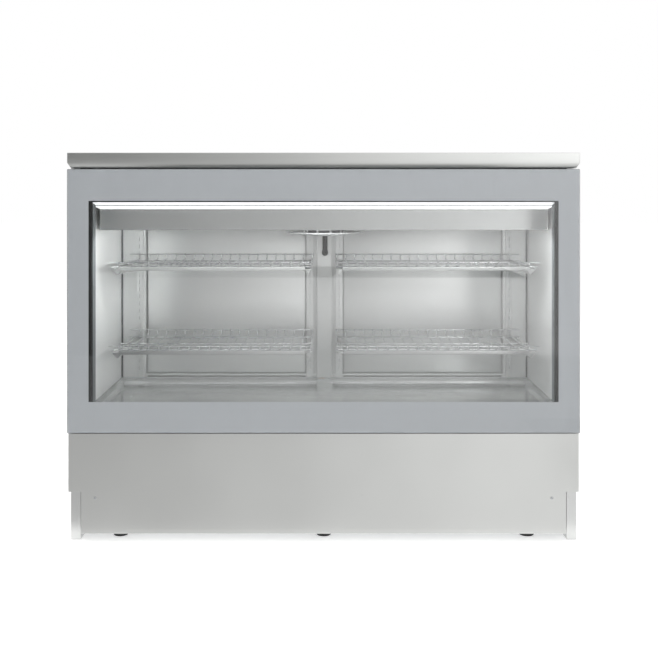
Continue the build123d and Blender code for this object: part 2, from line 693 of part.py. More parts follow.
def rear_grille():
    """Back cover of the base, with louvre slots and with openings for the controls and the gland."""
    y0, y1 = REAR_OUTER - SHEET, REAR_OUTER
    half = CARCASS_X + 0.5
    sheet = block(-half, half, y0, y1, BASE_Z, DECK_Z - 0.5)
    for row in range(LOUVRE_ROWS):
        z = LOUVRE_LOW + LOUVRE_PITCH * row
        for x in LOUVRE_XS:
            sheet -= block(x - LOUVRE_HALF, x + LOUVRE_HALF, y0 - 1, y1 + 1, z, z + LOUVRE_H)
    sheet -= block(PANEL_X[0] + 8, PANEL_X[1] - 8, y0 - 1, y1 + 1, PANEL_Z[0] + 8, PANEL_Z[1] - 8)
    return sheet - rod_y(GLAND[0], y0 - 1, y1 + 1, GLAND[1], 8.0)


def cable_gland():
    """Gland for the supply cord: a flanged sleeve and its clamping nut, with a clear bore."""
    x, z = GLAND
    gland = rod_y(x, REAR_OUTER - 18, REAR_OUTER + 4, z, 8.0 - PANEL_GAP)
    gland += rod_y(x, REAR_OUTER, REAR_OUTER + 6, z, 12)
    gland += rod_y(x, REAR_OUTER + 5, REAR_OUTER + 18, z, 10)
    return gland - rod_y(x, REAR_OUTER - 30, REAR_OUTER + 30, z, GLAND_BORE)


def control_panel():
    """Moulded bezel with the display window, three key openings and the rocker's well."""
    x0, x1 = PANEL_X
    z0, z1 = PANEL_Z
    face = block(x0, x1, REAR_OUTER, REAR_OUTER + 6, z0, z1)
    face = fillet(face.edges().filter_by(Axis.Y), radius=8)
    face = fillet(face.faces().sort_by(Axis.Y)[-1].edges(), radius=2)
    body = block(x0 + 9, x1 - 9, REAR_OUTER - 30, REAR_OUTER + 1, z0 + 9, z1 - 9)
    panel = face + body
    low, high = CONTROL_Z - WINDOW_H / 2, CONTROL_Z + WINDOW_H / 2
    panel -= block(*WINDOW_X, REAR_OUTER + 5, REAR_OUTER + 8, low, high)
    for x in KEY_XS:
        panel -= block(x - KEY_W / 2 - 0.3, x + KEY_W / 2 + 0.3, REAR_OUTER - 4, REAR_OUTER + 8,
                       CONTROL_Z - KEY_H / 2 - 0.3, CONTROL_Z + KEY_H / 2 + 0.3)
    well = block(ROCKER_X - WELL_HALF, ROCKER_X + WELL_HALF, REAR_OUTER - 14, REAR_OUTER + 8, low, high)
    return panel - well


def control_key(x):
    """One key of the controller, which travels inwards."""
    key = block(x - KEY_W / 2, x + KEY_W / 2, REAR_OUTER - 2.5, REAR_OUTER + 7.5,
                CONTROL_Z - KEY_H / 2, CONTROL_Z + KEY_H / 2)
    return fillet(key.faces().sort_by(Axis.Y)[-1].edges(), radius=0.8)


def switch_rocker():
    """Rocker of the mains switch, a shallow V that tips on two trunnions."""
    y = REAR_OUTER
    tip = ROCKER_H / 2
    outline = Polygon((y - 4, CONTROL_Z - tip), (y + 9, CONTROL_Z - tip), (y + 6, CONTROL_Z),
                      (y + 9, CONTROL_Z + tip), (y - 4, CONTROL_Z + tip), (y - 8, CONTROL_Z), align=None)
    paddle = extrude(Plane.YZ.offset(ROCKER_X) * outline, amount=ROCKER_HALF, both=True)
    trunnion = WELL_HALF - RUNNING
    return paddle + rod_x(ROCKER_X - trunnion, ROCKER_X + trunnion, y, CONTROL_Z, 2.0)


def compressor():
    """Hermetic compressor: a domed steel pot on a base plate with four feet, and its terminal box."""
    x, y = COMPRESSOR
    pot = Pos(x, y, 128) * Cylinder(72, 120)
    pot = fillet(pot.edges().group_by(Axis.Z)[-1], radius=42)
    pot = fillet(pot.edges().group_by(Axis.Z)[0], radius=20)
    seam = rod(x, y, 118, 124, 76)
    plate = block(x - 95, x + 95, y - 60, y + 60, 54, 57)
    skirt = rod(x, y, 55, 75, 46)
    box = block(x + 62, x + 96, y - 28, y + 28, 95, 150)
    unit = pot + seam + plate + skirt + box
    for sx in (-80, 80):
        for sy in (-45, 45):
            unit += rod(x + sx, y + sy, BASE_Z + SHEET, 60, 10)
    return unit


def condenser_coil():
    """Finned condenser behind the louvres."""
    return finned_coil(CONDENSER_X, CONDENSER_Y, CONDENSER_Z, 27, 50)


def condenser_shroud():
    """Sheet cowl that joins the fan's opening to the condenser, standing on the pan."""
    x0, x1 = CONDENSER_X
    z0, z1 = BASE_Z + SHEET, CONDENSER_Z[1] + 6
    y0, y1 = 150.0, CONDENSER_Y[0] - 1
    cowl = block(x0 - 6, x1 + 6, y0, y1, z0, z1)
    cowl -= block(x0 - 6 + SHEET, x1 + 6 - SHEET, y0 + SHEET, y1 + 5, z0 + SHEET, z1 - SHEET)
    return cowl - rod_y(MOTOR_X, y0 - 5, y0 + 5, MOTOR_Z, 98)


def condenser_fan_motor():
    """Fan motor on a two-legged stand before the cowl."""
    body = rod_y(MOTOR_X, 70, 130, MOTOR_Z, 36)
    shaft = rod_y(MOTOR_X, 120, 178, MOTOR_Z, 3.0)
    stand = block(MOTOR_X - 30, MOTOR_X + 30, 80, 84, BASE_Z + SHEET, MOTOR_Z)
    foot = block(MOTOR_X - 40, MOTOR_X + 40, 70, 110, BASE_Z + SHEET, BASE_Z + SHEET + 3)
    return body + shaft + stand + foot


def condenser_fan_blades():
    """Fan that blows through the condenser."""
    fan = fan_blades(92, 30, 22, 5, 26, 3.0 + RUNNING)
    return Pos(MOTOR_X, 165, MOTOR_Z) * Rot(90, 0, 0) * fan


def refrigerant_pipes():
    """Copper lines: suction, liquid with its drier, discharge, and the crossover between the two coils."""
    cx, cy = COMPRESSOR
    sx, sy, sr = SUCTION
    lx, ly, lr = LIQUID
    coil_x = EVAPORATOR_X[0] - COIL_STUB
    end_x = CONDENSER_X[1] + COIL_STUB
    end_y = (CONDENSER_Y[0] + CONDENSER_Y[1]) / 2
    suction = pipe([(coil_x, 40, LINES_Z), (100, 40, LINES_Z), (100, 120, LINES_Z), (sx, 120, LINES_Z),
                    (sx, sy, LINES_Z), (sx, sy, 230), (0, 160, 180), (cx - 30, cy + 40, 150)], sr, 12)
    liquid = pipe([(-coil_x, 40, LINES_Z), (-100, 40, LINES_Z), (-100, 140, LINES_Z), (lx, 140, LINES_Z),
                   (lx, ly, LINES_Z), (lx, ly, 110), (-50, end_y, 71), (end_x, end_y, 71)], lr, 8)
    drier = rod_x(-125, -75, end_y, 71, 9)
    discharge = pipe([(cx - 40, cy + 20, 140), (-60, cy + 20, 140), (-100, cy + 20, 271),
                      (-100, end_y, 271), (end_x, end_y, 271)], 4.0, 18)
    crossover = pipe([(coil_x, 40, 960), (135, 40, 960), (135, -108, 960), (-135, -108, 960),
                      (-135, 40, 960), (-coil_x, 40, 960)], 4.0, 15)
    pot = compressor()
    return group([suction - pot, discharge - pot, liquid + drier, crossover])


def condensate_tray():
    """Tray on the pan that takes the defrost water."""
    x0, x1 = TRAY_X
    y0, y1 = TRAY_Y
    foot = BASE_Z + SHEET
    tray = block(x0, x1, y0, y1, foot, TRAY_HIGH)
    return tray - block(x0 + 2, x1 - 2, y0 + 2, y1 - 2, foot + 2, TRAY_HIGH + 5)


def build_cabinet():
    """Insulated case: its outer sheets, foam, lining, and front and back frames."""
    write("worktop", worktop_pan())
    write("outer_panels", outer_panels())
    write("cabinet_foam", cabinet_foam())
    write("inner_liner", inner_liner())
    write("floor_tray", floor_tray())
    write("glazing_frame", glazing_frame())
    write("rear_frame", rear_frame())
    write("mullion", mullion())


def build_glazing():
    """Sealed glass unit at the front and the lamp behind its header."""
    write("front_glass_outer", front_glass_outer())
    write("glass_border", glass_border())
    write("glass_spacer", glass_spacer())
    write("front_glass_inner", front_glass_inner())
    write("lamp_diffuser", lamp_diffuser())
    write("led_strip", led_strip())


def build_evaporator():
    """Cooling gear under the ceiling, with its probe and drain."""
    write("evaporator_housing", evaporator_housing())
    write("evaporator_coil", evaporator_coil())
    write("evaporator_fan_motor", evaporator_fan_motor())
    write("evaporator_fan_blades", evaporator_fan_blades())
    write("evaporator_fan_guard", evaporator_fan_guard())
    write("temperature_probe", temperature_probe())
    write("drain_pipe", drain_pipe())


def build_shelving():
    """Uprights, brackets and the four wire shelves."""
    write("shelf_uprights", shelf_uprights())
    write("shelf_brackets", shelf_brackets())
    for name, level in SHELF_LEVELS.items():
        right = wire_shelf(level)
        write(f"shelf_{name}_right", right)
        write(f"shelf_{name}_left", mirrored(right))


def build_doors():
    """Both hinged doors, each in five layers, and the brackets that they turn on."""
    pieces = {"skin": door_skin(), "foam": door_foam(), "liner": door_liner(),
              "gasket": door_gasket(), "handle": door_handle()}
    for piece, shape in pieces.items():
        write(f"door_right_{piece}", shape)
        write(f"door_left_{piece}", mirrored(shape))
    write("hinge_brackets", hinge_brackets())


def build_base():
    """Base of the counter: fascia, pan, feet, controls and condensing unit."""
    write("front_fascia", front_fascia())
    write("base_pan", base_pan())
    names = ("left", "middle", "right")
    for y, row in zip(FOOT_YS, ("front", "back")):
        for x, column in zip(FOOT_XS, names):
            write(f"foot_{row}_{column}", levelling_foot(x, y))
    write("rear_grille", rear_grille())
    write("cable_gland", cable_gland())
    write("control_panel", control_panel())
    for name, x in zip(("set", "down", "up"), KEY_XS):
        write(f"key_{name}", control_key(x))
    write("switch_rocker", switch_rocker())
    write("compressor", compressor())
    write("condenser_coil", condenser_coil())
    write("condenser_shroud", condenser_shroud())
    write("condenser_fan_motor", condenser_fan_motor())
    write("condenser_fan_blades", condenser_fan_blades())
    write("refrigerant_pipes", refrigerant_pipes())
    write("condensate_tray", condensate_tray())


os.makedirs("parts", exist_ok=True)
build_cabinet()
build_glazing()
build_evaporator()
build_shelving()
build_doors()
build_base()
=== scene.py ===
# %% [markdown]
# # A glass-fronted drinks cooler with two doors at the back
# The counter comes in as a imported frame: sixty pieces at their real size, each on the body it
# moves with. This lesson gives every piece its finish and swaps the plain ones for modelled
# detail. Nothing is moved or resized, so each new piece takes its place from a frame piece.
# %% The frame
import json
from math import cos, pi, radians, sin, tan

import bmesh
import bpy
from mathutils import Matrix, Vector

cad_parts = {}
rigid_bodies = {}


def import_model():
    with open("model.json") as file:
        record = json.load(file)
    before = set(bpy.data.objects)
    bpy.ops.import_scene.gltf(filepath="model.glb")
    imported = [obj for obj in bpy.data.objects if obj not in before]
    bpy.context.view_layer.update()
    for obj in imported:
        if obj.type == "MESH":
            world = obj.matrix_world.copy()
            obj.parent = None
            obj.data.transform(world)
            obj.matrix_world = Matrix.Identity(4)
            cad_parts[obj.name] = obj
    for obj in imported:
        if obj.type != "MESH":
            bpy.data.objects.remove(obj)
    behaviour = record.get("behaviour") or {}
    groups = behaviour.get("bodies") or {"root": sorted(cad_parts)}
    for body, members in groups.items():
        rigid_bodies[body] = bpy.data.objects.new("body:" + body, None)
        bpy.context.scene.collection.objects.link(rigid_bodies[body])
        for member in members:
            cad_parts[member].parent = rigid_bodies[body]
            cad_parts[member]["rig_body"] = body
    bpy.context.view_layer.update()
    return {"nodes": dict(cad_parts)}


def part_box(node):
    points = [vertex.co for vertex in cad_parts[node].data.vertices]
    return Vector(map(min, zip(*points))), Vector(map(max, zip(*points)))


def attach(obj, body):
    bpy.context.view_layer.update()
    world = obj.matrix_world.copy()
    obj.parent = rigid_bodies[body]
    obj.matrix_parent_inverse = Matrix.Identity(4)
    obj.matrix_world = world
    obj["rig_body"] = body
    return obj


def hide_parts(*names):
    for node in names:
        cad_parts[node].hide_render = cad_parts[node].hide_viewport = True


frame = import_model()
NODES = frame["nodes"]
MM = 0.001

# %% [markdown]
# ## The camera
# The picture is square on: every upright is upright and the worktop's underside just shows. So
# the camera stands level at the height of an eye behind a bar, with a normal lens, and the
# picture is lowered by a shift of the lens and not by a tilt, as with a view camera.
# %% The camera
EYE = Vector((0.016, -2.971, 1.024))
LENS_DROP = -0.2036
camera_data = bpy.data.cameras.new("Camera")
camera_data.lens = 50.0
camera_data.sensor_width = 36.0
camera_data.shift_y = LENS_DROP
camera = bpy.data.objects.new("Camera", camera_data)
camera.location = EYE
camera.rotation_euler = (pi / 2, 0.0, 0.0)
bpy.context.scene.collection.objects.link(camera)
bpy.context.scene.camera = camera
bpy.context.scene.view_settings.view_transform = "Standard"
print("lens angle", round(camera_data.angle * 180 / pi, 1), "degrees")

# %% [markdown]
# ## Colours and nodes
# A colour is written as the hex value that a paint chart or a picture gives, which is coded for
# a screen. Shaders count light, so one function turns it to linear. One more function adds a
# node: a value that is another node's output becomes a link, and any other value is set.
# %% Colour and node helpers
def linear(code):
    """A hex colour as linear light."""
    parts = [int(code[i:i + 2], 16) / 255 for i in (1, 3, 5)]
    return (*[p / 12.92 if p <= 0.04045 else ((p + 0.055) / 1.055) ** 2.4 for p in parts], 1.0)


def add(tree, kind, inputs=None, **properties):
    """Add a node, set its properties, and set or link its inputs."""
    made = tree.nodes.new("ShaderNode" + kind)
    for name, value in properties.items():
        setattr(made, name, value)
    for name, value in (inputs or {}).items():
        if isinstance(value, bpy.types.NodeSocket):
            tree.links.new(value, made.inputs[name])
        else:
            made.inputs[name].default_value = value
    return made


def surface(name, slot, colour, roughness, **settings):
    """A material with its shader set, and the Object coordinates for its patterns."""
    material = bpy.data.materials.new(name)
    material.use_nodes = True
    material["slot"] = slot
    tree = material.node_tree
    shader = tree.nodes["Principled BSDF"]
    shader.inputs["Base Color"].default_value = linear(colour)
    shader.inputs["Roughness"].default_value = roughness
    for socket, value in settings.items():
        shader.inputs[socket.replace("_", " ")].default_value = value
    return material, tree, shader, add(tree, "TexCoord").outputs["Object"]


print("steel grey in linear light:", [round(v, 3) for v in linear("#c8c9c8")[:3]])

# %% [markdown]
# ## The room
# Steel has hardly a colour of its own: it shows the room. The backdrop is white for the camera,
# for reflections and through glass, and a quiet grey for the light that falls on matt pieces.
# The floor is pale and keeps the counter's shadow. Cards that only reflections see stand in
# front: two darken from right to left, as the steel does in the picture, and a dark one hangs
# below the worktop's chamfer. More stand behind and at the sides, so that all of it reads as steel.
# %% The backdrop and the floor
WORLD_LIGHT = 0.62
FLOOR_GLOW = 0.52
FLOOR_SIZE = 60.0


def any_ray(tree, *kinds):
    """One where the ray is of any of these kinds, and zero elsewhere."""
    path = add(tree, "LightPath")
    seen = path.outputs[f"Is {kinds[0]} Ray"]
    for kind in kinds[1:]:
        seen = add(tree, "Math", {0: seen, 1: path.outputs[f"Is {kind} Ray"]}, operation="MAXIMUM").outputs[0]
    return seen


world = bpy.data.worlds.new("Studio")
world.use_nodes = True
bpy.context.scene.world = world
room = world.node_tree
room.nodes.clear()
seen = any_ray(room, "Camera", "Glossy", "Transmission")
strength = add(room, "MapRange", {"Value": seen, "To Min": WORLD_LIGHT, "To Max": 1.0})
sky = add(room, "Background", {"Color": (1.0, 1.0, 1.0, 1.0), "Strength": strength.outputs[0]})
add(room, "OutputWorld", {"Surface": sky.outputs[0]})


def card(name, middle, size, turn):
    """A flat sheet for the studio, which isn't part of the counter."""
    bm = bmesh.new()
    bmesh.ops.create_grid(bm, x_segments=1, y_segments=1, size=0.5)
    place = Matrix.Translation(middle) @ Matrix.Rotation(turn, 4, "X")
    bmesh.ops.transform(bm, matrix=place @ Matrix.Diagonal((*size, 1.0, 1.0)), verts=bm.verts)
    mesh = bpy.data.meshes.new(name)
    bm.to_mesh(mesh)
    bm.free()
    made = bpy.data.objects.new(name, mesh)
    bpy.context.scene.collection.objects.link(made)
    return made


floor = card("Floor", (0.0, 0.0, 0.0), (FLOOR_SIZE, FLOOR_SIZE), 0.0)
floor_paint = bpy.data.materials.new("Pale studio floor")
floor_paint.use_nodes = True
tree = floor_paint.node_tree
tree.nodes.clear()
lift = add(tree, "Math", {0: any_ray(tree, "Camera", "Glossy"), 1: FLOOR_GLOW}, operation="MULTIPLY")
matt = add(tree, "BsdfDiffuse", {"Color": linear("#e9e9e8")})
glow = add(tree, "Emission", {"Strength": lift.outputs[0]})
both = add(tree, "AddShader", {0: matt.outputs[0], 1: glow.outputs[0]})
add(tree, "OutputMaterial", {"Surface": both.outputs[0]})
floor.data.materials.append(floor_paint)
print("floor", FLOOR_SIZE, "m wide")

# %% [markdown]
# A card seen only by reflections is an emitting sheet whose other rays are switched off. Its
# brightness runs along its own X between a left and a right value, each as a share of white.
# Steel takes its grey from these cards, so the lamps only light what is matt: three big ones
# stand round the counter, one hangs inside the glass, just below the real lamp, and a narrow one
# brightens the left wall, as the picture shows.
# %% The cards and the lamps
UPRIGHT_TURN = pi / 2
CARD_LIFT = 0.004


def reflection_card(name, middle, size, turn, left, right, reach=None, curve=1.0, swing=0.0):
    """A sheet that only reflections see, brighter along X over its reach, swung about Z at the end."""
    made = card(name, middle, size, turn)
    made.matrix_world = Matrix.Rotation(swing, 4, "Z")
    paint = bpy.data.materials.new(name)
    paint.use_nodes = True
    tree = paint.node_tree
    tree.nodes.clear()
    coords = add(tree, "TexCoord")
    along = add(tree, "SeparateXYZ", {"Vector": coords.outputs["Object"]})
    half = reach or size[0] / 2
    share = add(tree, "MapRange", {"Value": along.outputs["X"], "From Min": middle[0] - half,
                                   "From Max": middle[0] + half})
    rise = add(tree, "Math", {0: share.outputs[0], 1: curve}, operation="POWER")
    bright = add(tree, "MapRange", {"Value": rise.outputs[0], "To Min": left, "To Max": right})
    glow = add(tree, "Emission", {"Strength": bright.outputs[0]})
    add(tree, "OutputMaterial", {"Surface": glow.outputs[0]})
    made.data.materials.append(paint)
    made.visible_camera = False
    made.visible_diffuse = False
    made.visible_shadow = False
    made.visible_volume_scatter = False


reflection_card("Upper_card", (0.0, -3.4, 1.86), (9.0, 3.7), UPRIGHT_TURN,
                left=0.18, right=1.65, reach=1.7, curve=1.4)
reflection_card("Floor_card", (0.0, -1.90, CARD_LIFT), (7.0, 3.1), 0.0, left=0.43, right=1.13, reach=1.8)
reflection_card("Back_card", (0.0, 3.4, 1.86), (9.0, 3.7), UPRIGHT_TURN, left=0.50, right=0.95, reach=1.8)
reflection_card("Back_floor_card", (0.0, 1.90, CARD_LIFT), (7.0, 3.0), 0.0, left=0.50, right=0.80, reach=1.8)
for side, swing in (("Left", -pi / 2), ("Right", pi / 2)):
    reflection_card(side + "_card", (0.0, -4.6, 1.86), (6.0, 3.7), UPRIGHT_TURN,
                    left=0.42, right=0.82, reach=2.0, swing=swing)
    reflection_card(side + "_floor_card", (0.0, -2.75, CARD_LIFT), (3.6, 3.7), 0.0,
                    left=0.42, right=0.70, reach=1.8, swing=swing)
reflection_card("Edge_card", (0.0, -0.52, 0.78), (1.20, 0.42), 0.0, left=0.02, right=0.02)


def lamp(name, middle, aim, size, watts, spread=180.0):
    """A soft rectangular lamp that shines at a point, and that reflections don't see."""
    data = bpy.data.lights.new(name, "AREA")
    data.shape = "RECTANGLE"
    data.size, data.size_y = size
    data.energy = watts
    data.spread = radians(spread)
    made = bpy.data.objects.new(name, data)
    made.location = middle
    made.rotation_euler = (Vector(aim) - Vector(middle)).to_track_quat("-Z", "Y").to_euler()
    made.visible_camera = False
    made.visible_glossy = False
    bpy.context.scene.collection.objects.link(made)
    return made


lamp("Overhead", (-0.4, -0.6, 3.6), (0.0, 0.0, 0.8), (3.0, 3.0), 70.0)
lamp("Front", (0.9, -3.6, 2.4), (-0.3, 0.0, 0.6), (2.6, 1.6), 50.0)
lamp("Behind", (-0.5, 3.6, 2.4), (0.0, 0.0, 0.7), (2.6, 1.6), 40.0)
strip = lamp("Strip", (0.0, -0.205, 0.912), (0.0, 0.06, 0.4), (1.34, 0.08), 5.5)
lamp("Wall_fill", (0.05, 0.04, 0.82), (-0.71, 0.04, 0.79), (0.15, 0.24), 5.5, spread=46.0)
print("lamps", [light.name for light in bpy.data.lights])

# %% [markdown]
# ## Stainless steel
# Three finishes of the same alloy. The outside is ground along the sheet with a belt, which
# leaves fine lines that blur reflections across them. The lining is bright rolled, smoother and
# cloudy. The shelves are drawn wire, polished in acid, so they are the brightest. A belt line is
# about 0.1 mm, too fine to show, so the lines are drawn 1.2 mm apart, and 60 times as long.
# %% Steel finishes
def brushed_steel(name, along, colour, roughness, line=1.2, mark=0.10, metal=1.0, relief=0.03):
    """Ground stainless sheet, with its lines along one axis: 0 is X, 1 is Y and 2 is Z."""
    material, tree, shader, coords = surface(name, "stainless", colour, roughness, Metallic=metal)
    across = 1.0 / (line * MM)
    stretch = [across] * 3
    stretch[along] /= 60
    place = add(tree, "Mapping", {"Vector": coords, "Scale": stretch})
    lines = add(tree, "TexNoise", {"Vector": place.outputs[0], "Scale": 1.0, "Detail": 2.0})
    clouds = add(tree, "TexNoise", {"Vector": coords, "Scale": 3.0, "Detail": 2.0})
    rough = add(tree, "MapRange", {"Value": lines.outputs[0], "To Min": roughness - mark,
                                   "To Max": roughness + mark})
    tree.links.new(rough.outputs[0], shader.inputs["Roughness"])
    tint = add(tree, "ValToRGB", {"Fac": clouds.outputs[0]})
    base = Vector(linear(colour)[:3])
    tint.color_ramp.elements[0].position = 0.3
    tint.color_ramp.elements[0].color = (*(base * 0.96), 1.0)
    tint.color_ramp.elements[1].position = 0.7
    tint.color_ramp.elements[1].color = (*(base * 1.03), 1.0)
    tree.links.new(tint.outputs[0], shader.inputs["Base Color"])
    bump = add(tree, "Bump", {"Height": lines.outputs[0], "Strength": 0.25, "Distance": relief * MM})
    tree.links.new(bump.outputs[0], shader.inputs["Normal"])
    return material


def bright_rolled(name, along, colour, roughness, metal=0.75):
    """Bright-rolled sheet: faint, wide roll lines and hardly any relief."""
    return brushed_steel("Bright-rolled stainless " + name, along, colour, roughness,
                         line=6.0, mark=0.01, metal=metal, relief=0.0005)


STEEL_X = brushed_steel("Belt-ground stainless, lines along X", 0, "#d6d7d5", 0.34)
STEEL_Z = brushed_steel("Belt-ground stainless, upright lines", 2, "#d6d7d6", 0.34)
LINING = bright_rolled("back frame", 2, "#e2e4e3", 0.32)
WALLS = bright_rolled("side lining", 2, "#e2e4e3", 0.36, 0.5)
MULLION = bright_rolled("mullion", 2, "#cfd1d0", 0.30, 0.70)
UPRIGHT = bright_rolled("shelf strip", 2, "#dcdedd", 0.28)
BRACKET = bright_rolled("bracket", 1, "#b4b6b5", 0.34)
DOOR_LINING = bright_rolled("door lining", 2, "#dcdedd", 0.28)
VALANCE = bright_rolled("valance", 0, "#babcbb", 0.24, 0.65)
TRAY = bright_rolled("floor tray", 0, "#c6c9c8", 0.22)


def polished_wire():
    """Drawn stainless wire, electropolished: smooth, bright, with faint draw marks."""
    material, tree, shader, coords = surface("Electropolished wire", "shelf_wire", "#e2e3e4", 0.13,
                                             Metallic=1.0)
    marks = add(tree, "TexNoise", {"Vector": coords, "Scale": 260.0, "Detail": 2.0})
    rough = add(tree, "MapRange", {"Value": marks.outputs[0], "To Min": 0.09, "To Max": 0.17})
    tree.links.new(rough.outputs[0], shader.inputs["Roughness"])
    return material


WIRE = polished_wire()

# %% [markdown]
# ## Other metals
# Galvanised sheet shows zinc crystals about 12 mm across. Fins are thin rolled aluminium, and
# the grip is an anodised extrusion with die lines along Z. Copper tube is drawn and slightly
# tarnished. Screws are zinc plated.
# %% Zinc, aluminium and copper
def galvanised_sheet():
    """Hot-dip galvanised steel: flat grey crystals with different shine."""
    material, tree, shader, coords = surface("Galvanised steel sheet", "galvanised", "#a9adaf", 0.45,
                                             Metallic=1.0)
    spangle = add(tree, "TexVoronoi", {"Vector": coords, "Scale": 1 / 0.012})
    rough = add(tree, "MapRange", {"Value": spangle.outputs["Color"], "To Min": 0.34, "To Max": 0.58})
    tree.links.new(rough.outputs[0], shader.inputs["Roughness"])
    tint = add(tree, "ValToRGB", {"Fac": spangle.outputs["Color"]})
    tint.color_ramp.elements[0].color = linear("#9ca0a2")
    tint.color_ramp.elements[1].color = linear("#bcc0c2")
    tree.links.new(tint.outputs[0], shader.inputs["Base Color"])
    return material


def lined_metal(name, slot, colour, roughness, along, line):
    """Drawn, rolled or extruded metal with die lines along one axis."""
    material, tree, shader, coords = surface(name, slot, colour, roughness, Metallic=1.0)
    stretch = [1 / (line * MM)] * 3
    stretch[along] /= 80
    place = add(tree, "Mapping", {"Vector": coords, "Scale": stretch})
    lines = add(tree, "TexNoise", {"Vector": place.outputs[0], "Scale": 1.0, "Detail": 1.0})
    rough = add(tree, "MapRange", {"Value": lines.outputs[0], "To Min": roughness - 0.08,
                                   "To Max": roughness + 0.08})
    tree.links.new(rough.outputs[0], shader.inputs["Roughness"])
    bump = add(tree, "Bump", {"Height": lines.outputs[0], "Strength": 0.2, "Distance": 0.04 * MM})
    tree.links.new(bump.outputs[0], shader.inputs["Normal"])
    return material


GALVANISED = galvanised_sheet()
ANODISED = lined_metal("Anodised aluminium extrusion", "aluminium", "#c9cbcc", 0.36, 2, 0.9)
FINS = lined_metal("Rolled aluminium fins", "aluminium", "#d0d2d3", 0.30, 2, 1.5)
COPPER = lined_metal("Drawn copper tube", "copper", "#c98b62", 0.32, 2, 1.0)
ZINC = lined_metal("Zinc-plated screw", "stainless", "#c4c6c8", 0.30, 0, 0.5)

# %% [markdown]
# ## Plastics, paint and rubber
# Moulded plastic copies the mould: a fine etched grain, here 0.6 mm, that breaks up its gloss.
# Enamel on the compressor is smoother with a slight orange peel of 2 mm. Rubber is duller and a
# little cloudy. One function makes them all, since only colour, gloss and grain differ.
# %% Moulded, painted and rubber finishes
def grained(name, slot, colour, roughness, grain=0.6, relief=0.03, cloud=0.04, **settings):
    """A moulded or painted finish with a fine grain and faint clouds of colour."""
    material, tree, shader, coords = surface(name, slot, colour, roughness, **settings)
    texture = add(tree, "TexNoise", {"Vector": coords, "Scale": 1 / (grain * MM), "Detail": 2.0})
    clouds = add(tree, "TexNoise", {"Vector": coords, "Scale": 14.0, "Detail": 3.0})
    base = Vector(linear(colour)[:3])
    tint = add(tree, "ValToRGB", {"Fac": clouds.outputs[0]})
    tint.color_ramp.elements[0].position = 0.3
    tint.color_ramp.elements[0].color = (*(base * (1 - cloud)), 1.0)
    tint.color_ramp.elements[1].position = 0.7
    tint.color_ramp.elements[1].color = (*(base * (1 + cloud)), 1.0)
    tree.links.new(tint.outputs[0], shader.inputs["Base Color"])
    rough = add(tree, "MapRange", {"Value": texture.outputs[0], "To Min": roughness - 0.06,
                                   "To Max": roughness + 0.06})
    tree.links.new(rough.outputs[0], shader.inputs["Roughness"])
    bump = add(tree, "Bump", {"Height": texture.outputs[0], "Strength": 0.3, "Distance": relief * MM})
    tree.links.new(bump.outputs[0], shader.inputs["Normal"])
    return material


BLACK_ABS = grained("Moulded black ABS", "black_plastic", "#1d1e20", 0.42)
BLACK_PA = grained("Glass-filled black nylon", "black_plastic", "#17181a", 0.50, grain=0.9, relief=0.05)
WHITE_ABS = grained("Moulded white ABS", "white_plastic", "#8b8d8d", 0.40)
WHITE_PP = grained("Translucent white polypropylene", "white_plastic", "#dcdddb", 0.45, grain=1.2)
GREY_KEY = grained("Soft-touch grey key", "grey_plastic", "#6e7175", 0.55)
GREEN_LENS = grained("Tinted green polycarbonate", "green_plastic", "#1d7a3c", 0.18, grain=2.0, relief=0.01)
PROFILE = grained("Powder-coated grey profile", "grey_profile", "#5c6163", 0.50, grain=1.6, relief=0.06)
PRINT = grained("Grey ceramic enamel, fired on", "grey_print", "#a1a5a9", 0.45, grain=3.0, relief=0.0,
                cloud=0.01)
BUTYL = grained("Black warm-edge spacer", "black_spacer", "#0b0c0d", 0.80, grain=1.0, Specular_IOR_Level=0.3)
SEAL = grained("Grey PVC seal", "grey_rubber", "#77797b", 0.60, grain=1.5)
# Dark grey: partly the sealant's own colour and partly painted shade of the back corners.
SEALANT_AND_CORNER_SHADE = grained("Grey silicone sealant and painted corner shade", "grey_rubber", "#3f4143", 0.45, grain=2.5)
# Real black rubber on the probe; on the strips at the sill and below the worktop its black is painted shade.
RUBBER_AND_GAP_SHADE = grained("Black EPDM rubber and painted gap shade", "black_plastic", "#030303", 0.85, grain=1.2, Specular_IOR_Level=0.05)
ENAMEL = grained("Black stove enamel", "black_metal", "#17181a", 0.30, grain=2.0, relief=0.08)
FOAM = grained("Poured polyurethane foam", "foam", "#d9c795", 0.85, grain=1.5, relief=0.5, cloud=0.08)
MARK = grained("White pad print", "white_plastic", "#e8e8e6", 0.50, grain=2.0, relief=0.0)

# %% [markdown]
# ## Glass and the lamp
# Low-iron float glass with an anti-glare coating is clear and hardly mirrors the room. Its shader
# bends light, but lamps and soft light must reach the shelves behind it, so shadow rays and matt
# bounces pass straight through. Opal acrylic glows evenly over the lamp board: a little grain
# keeps it from looking like a hole in the picture.
# %% Glass, opal acrylic and the display
def float_glass(name, tint):
    """Coated glass that lets the lamps' light straight through."""
    material, tree, shader, _ = surface(name, "clear_glass", tint, 0.0, IOR=1.5, Transmission_Weight=1.0,
                                        Specular_IOR_Level=0.06)
    passing = any_ray(tree, "Shadow", "Diffuse")
    open_way = add(tree, "BsdfTransparent", {"Color": linear("#fdfdfd")})
    mixed = add(tree, "MixShader", {0: passing, 1: shader.outputs[0], 2: open_way.outputs[0]})
    tree.links.new(mixed.outputs[0], tree.nodes["Material Output"].inputs["Surface"])
    return material


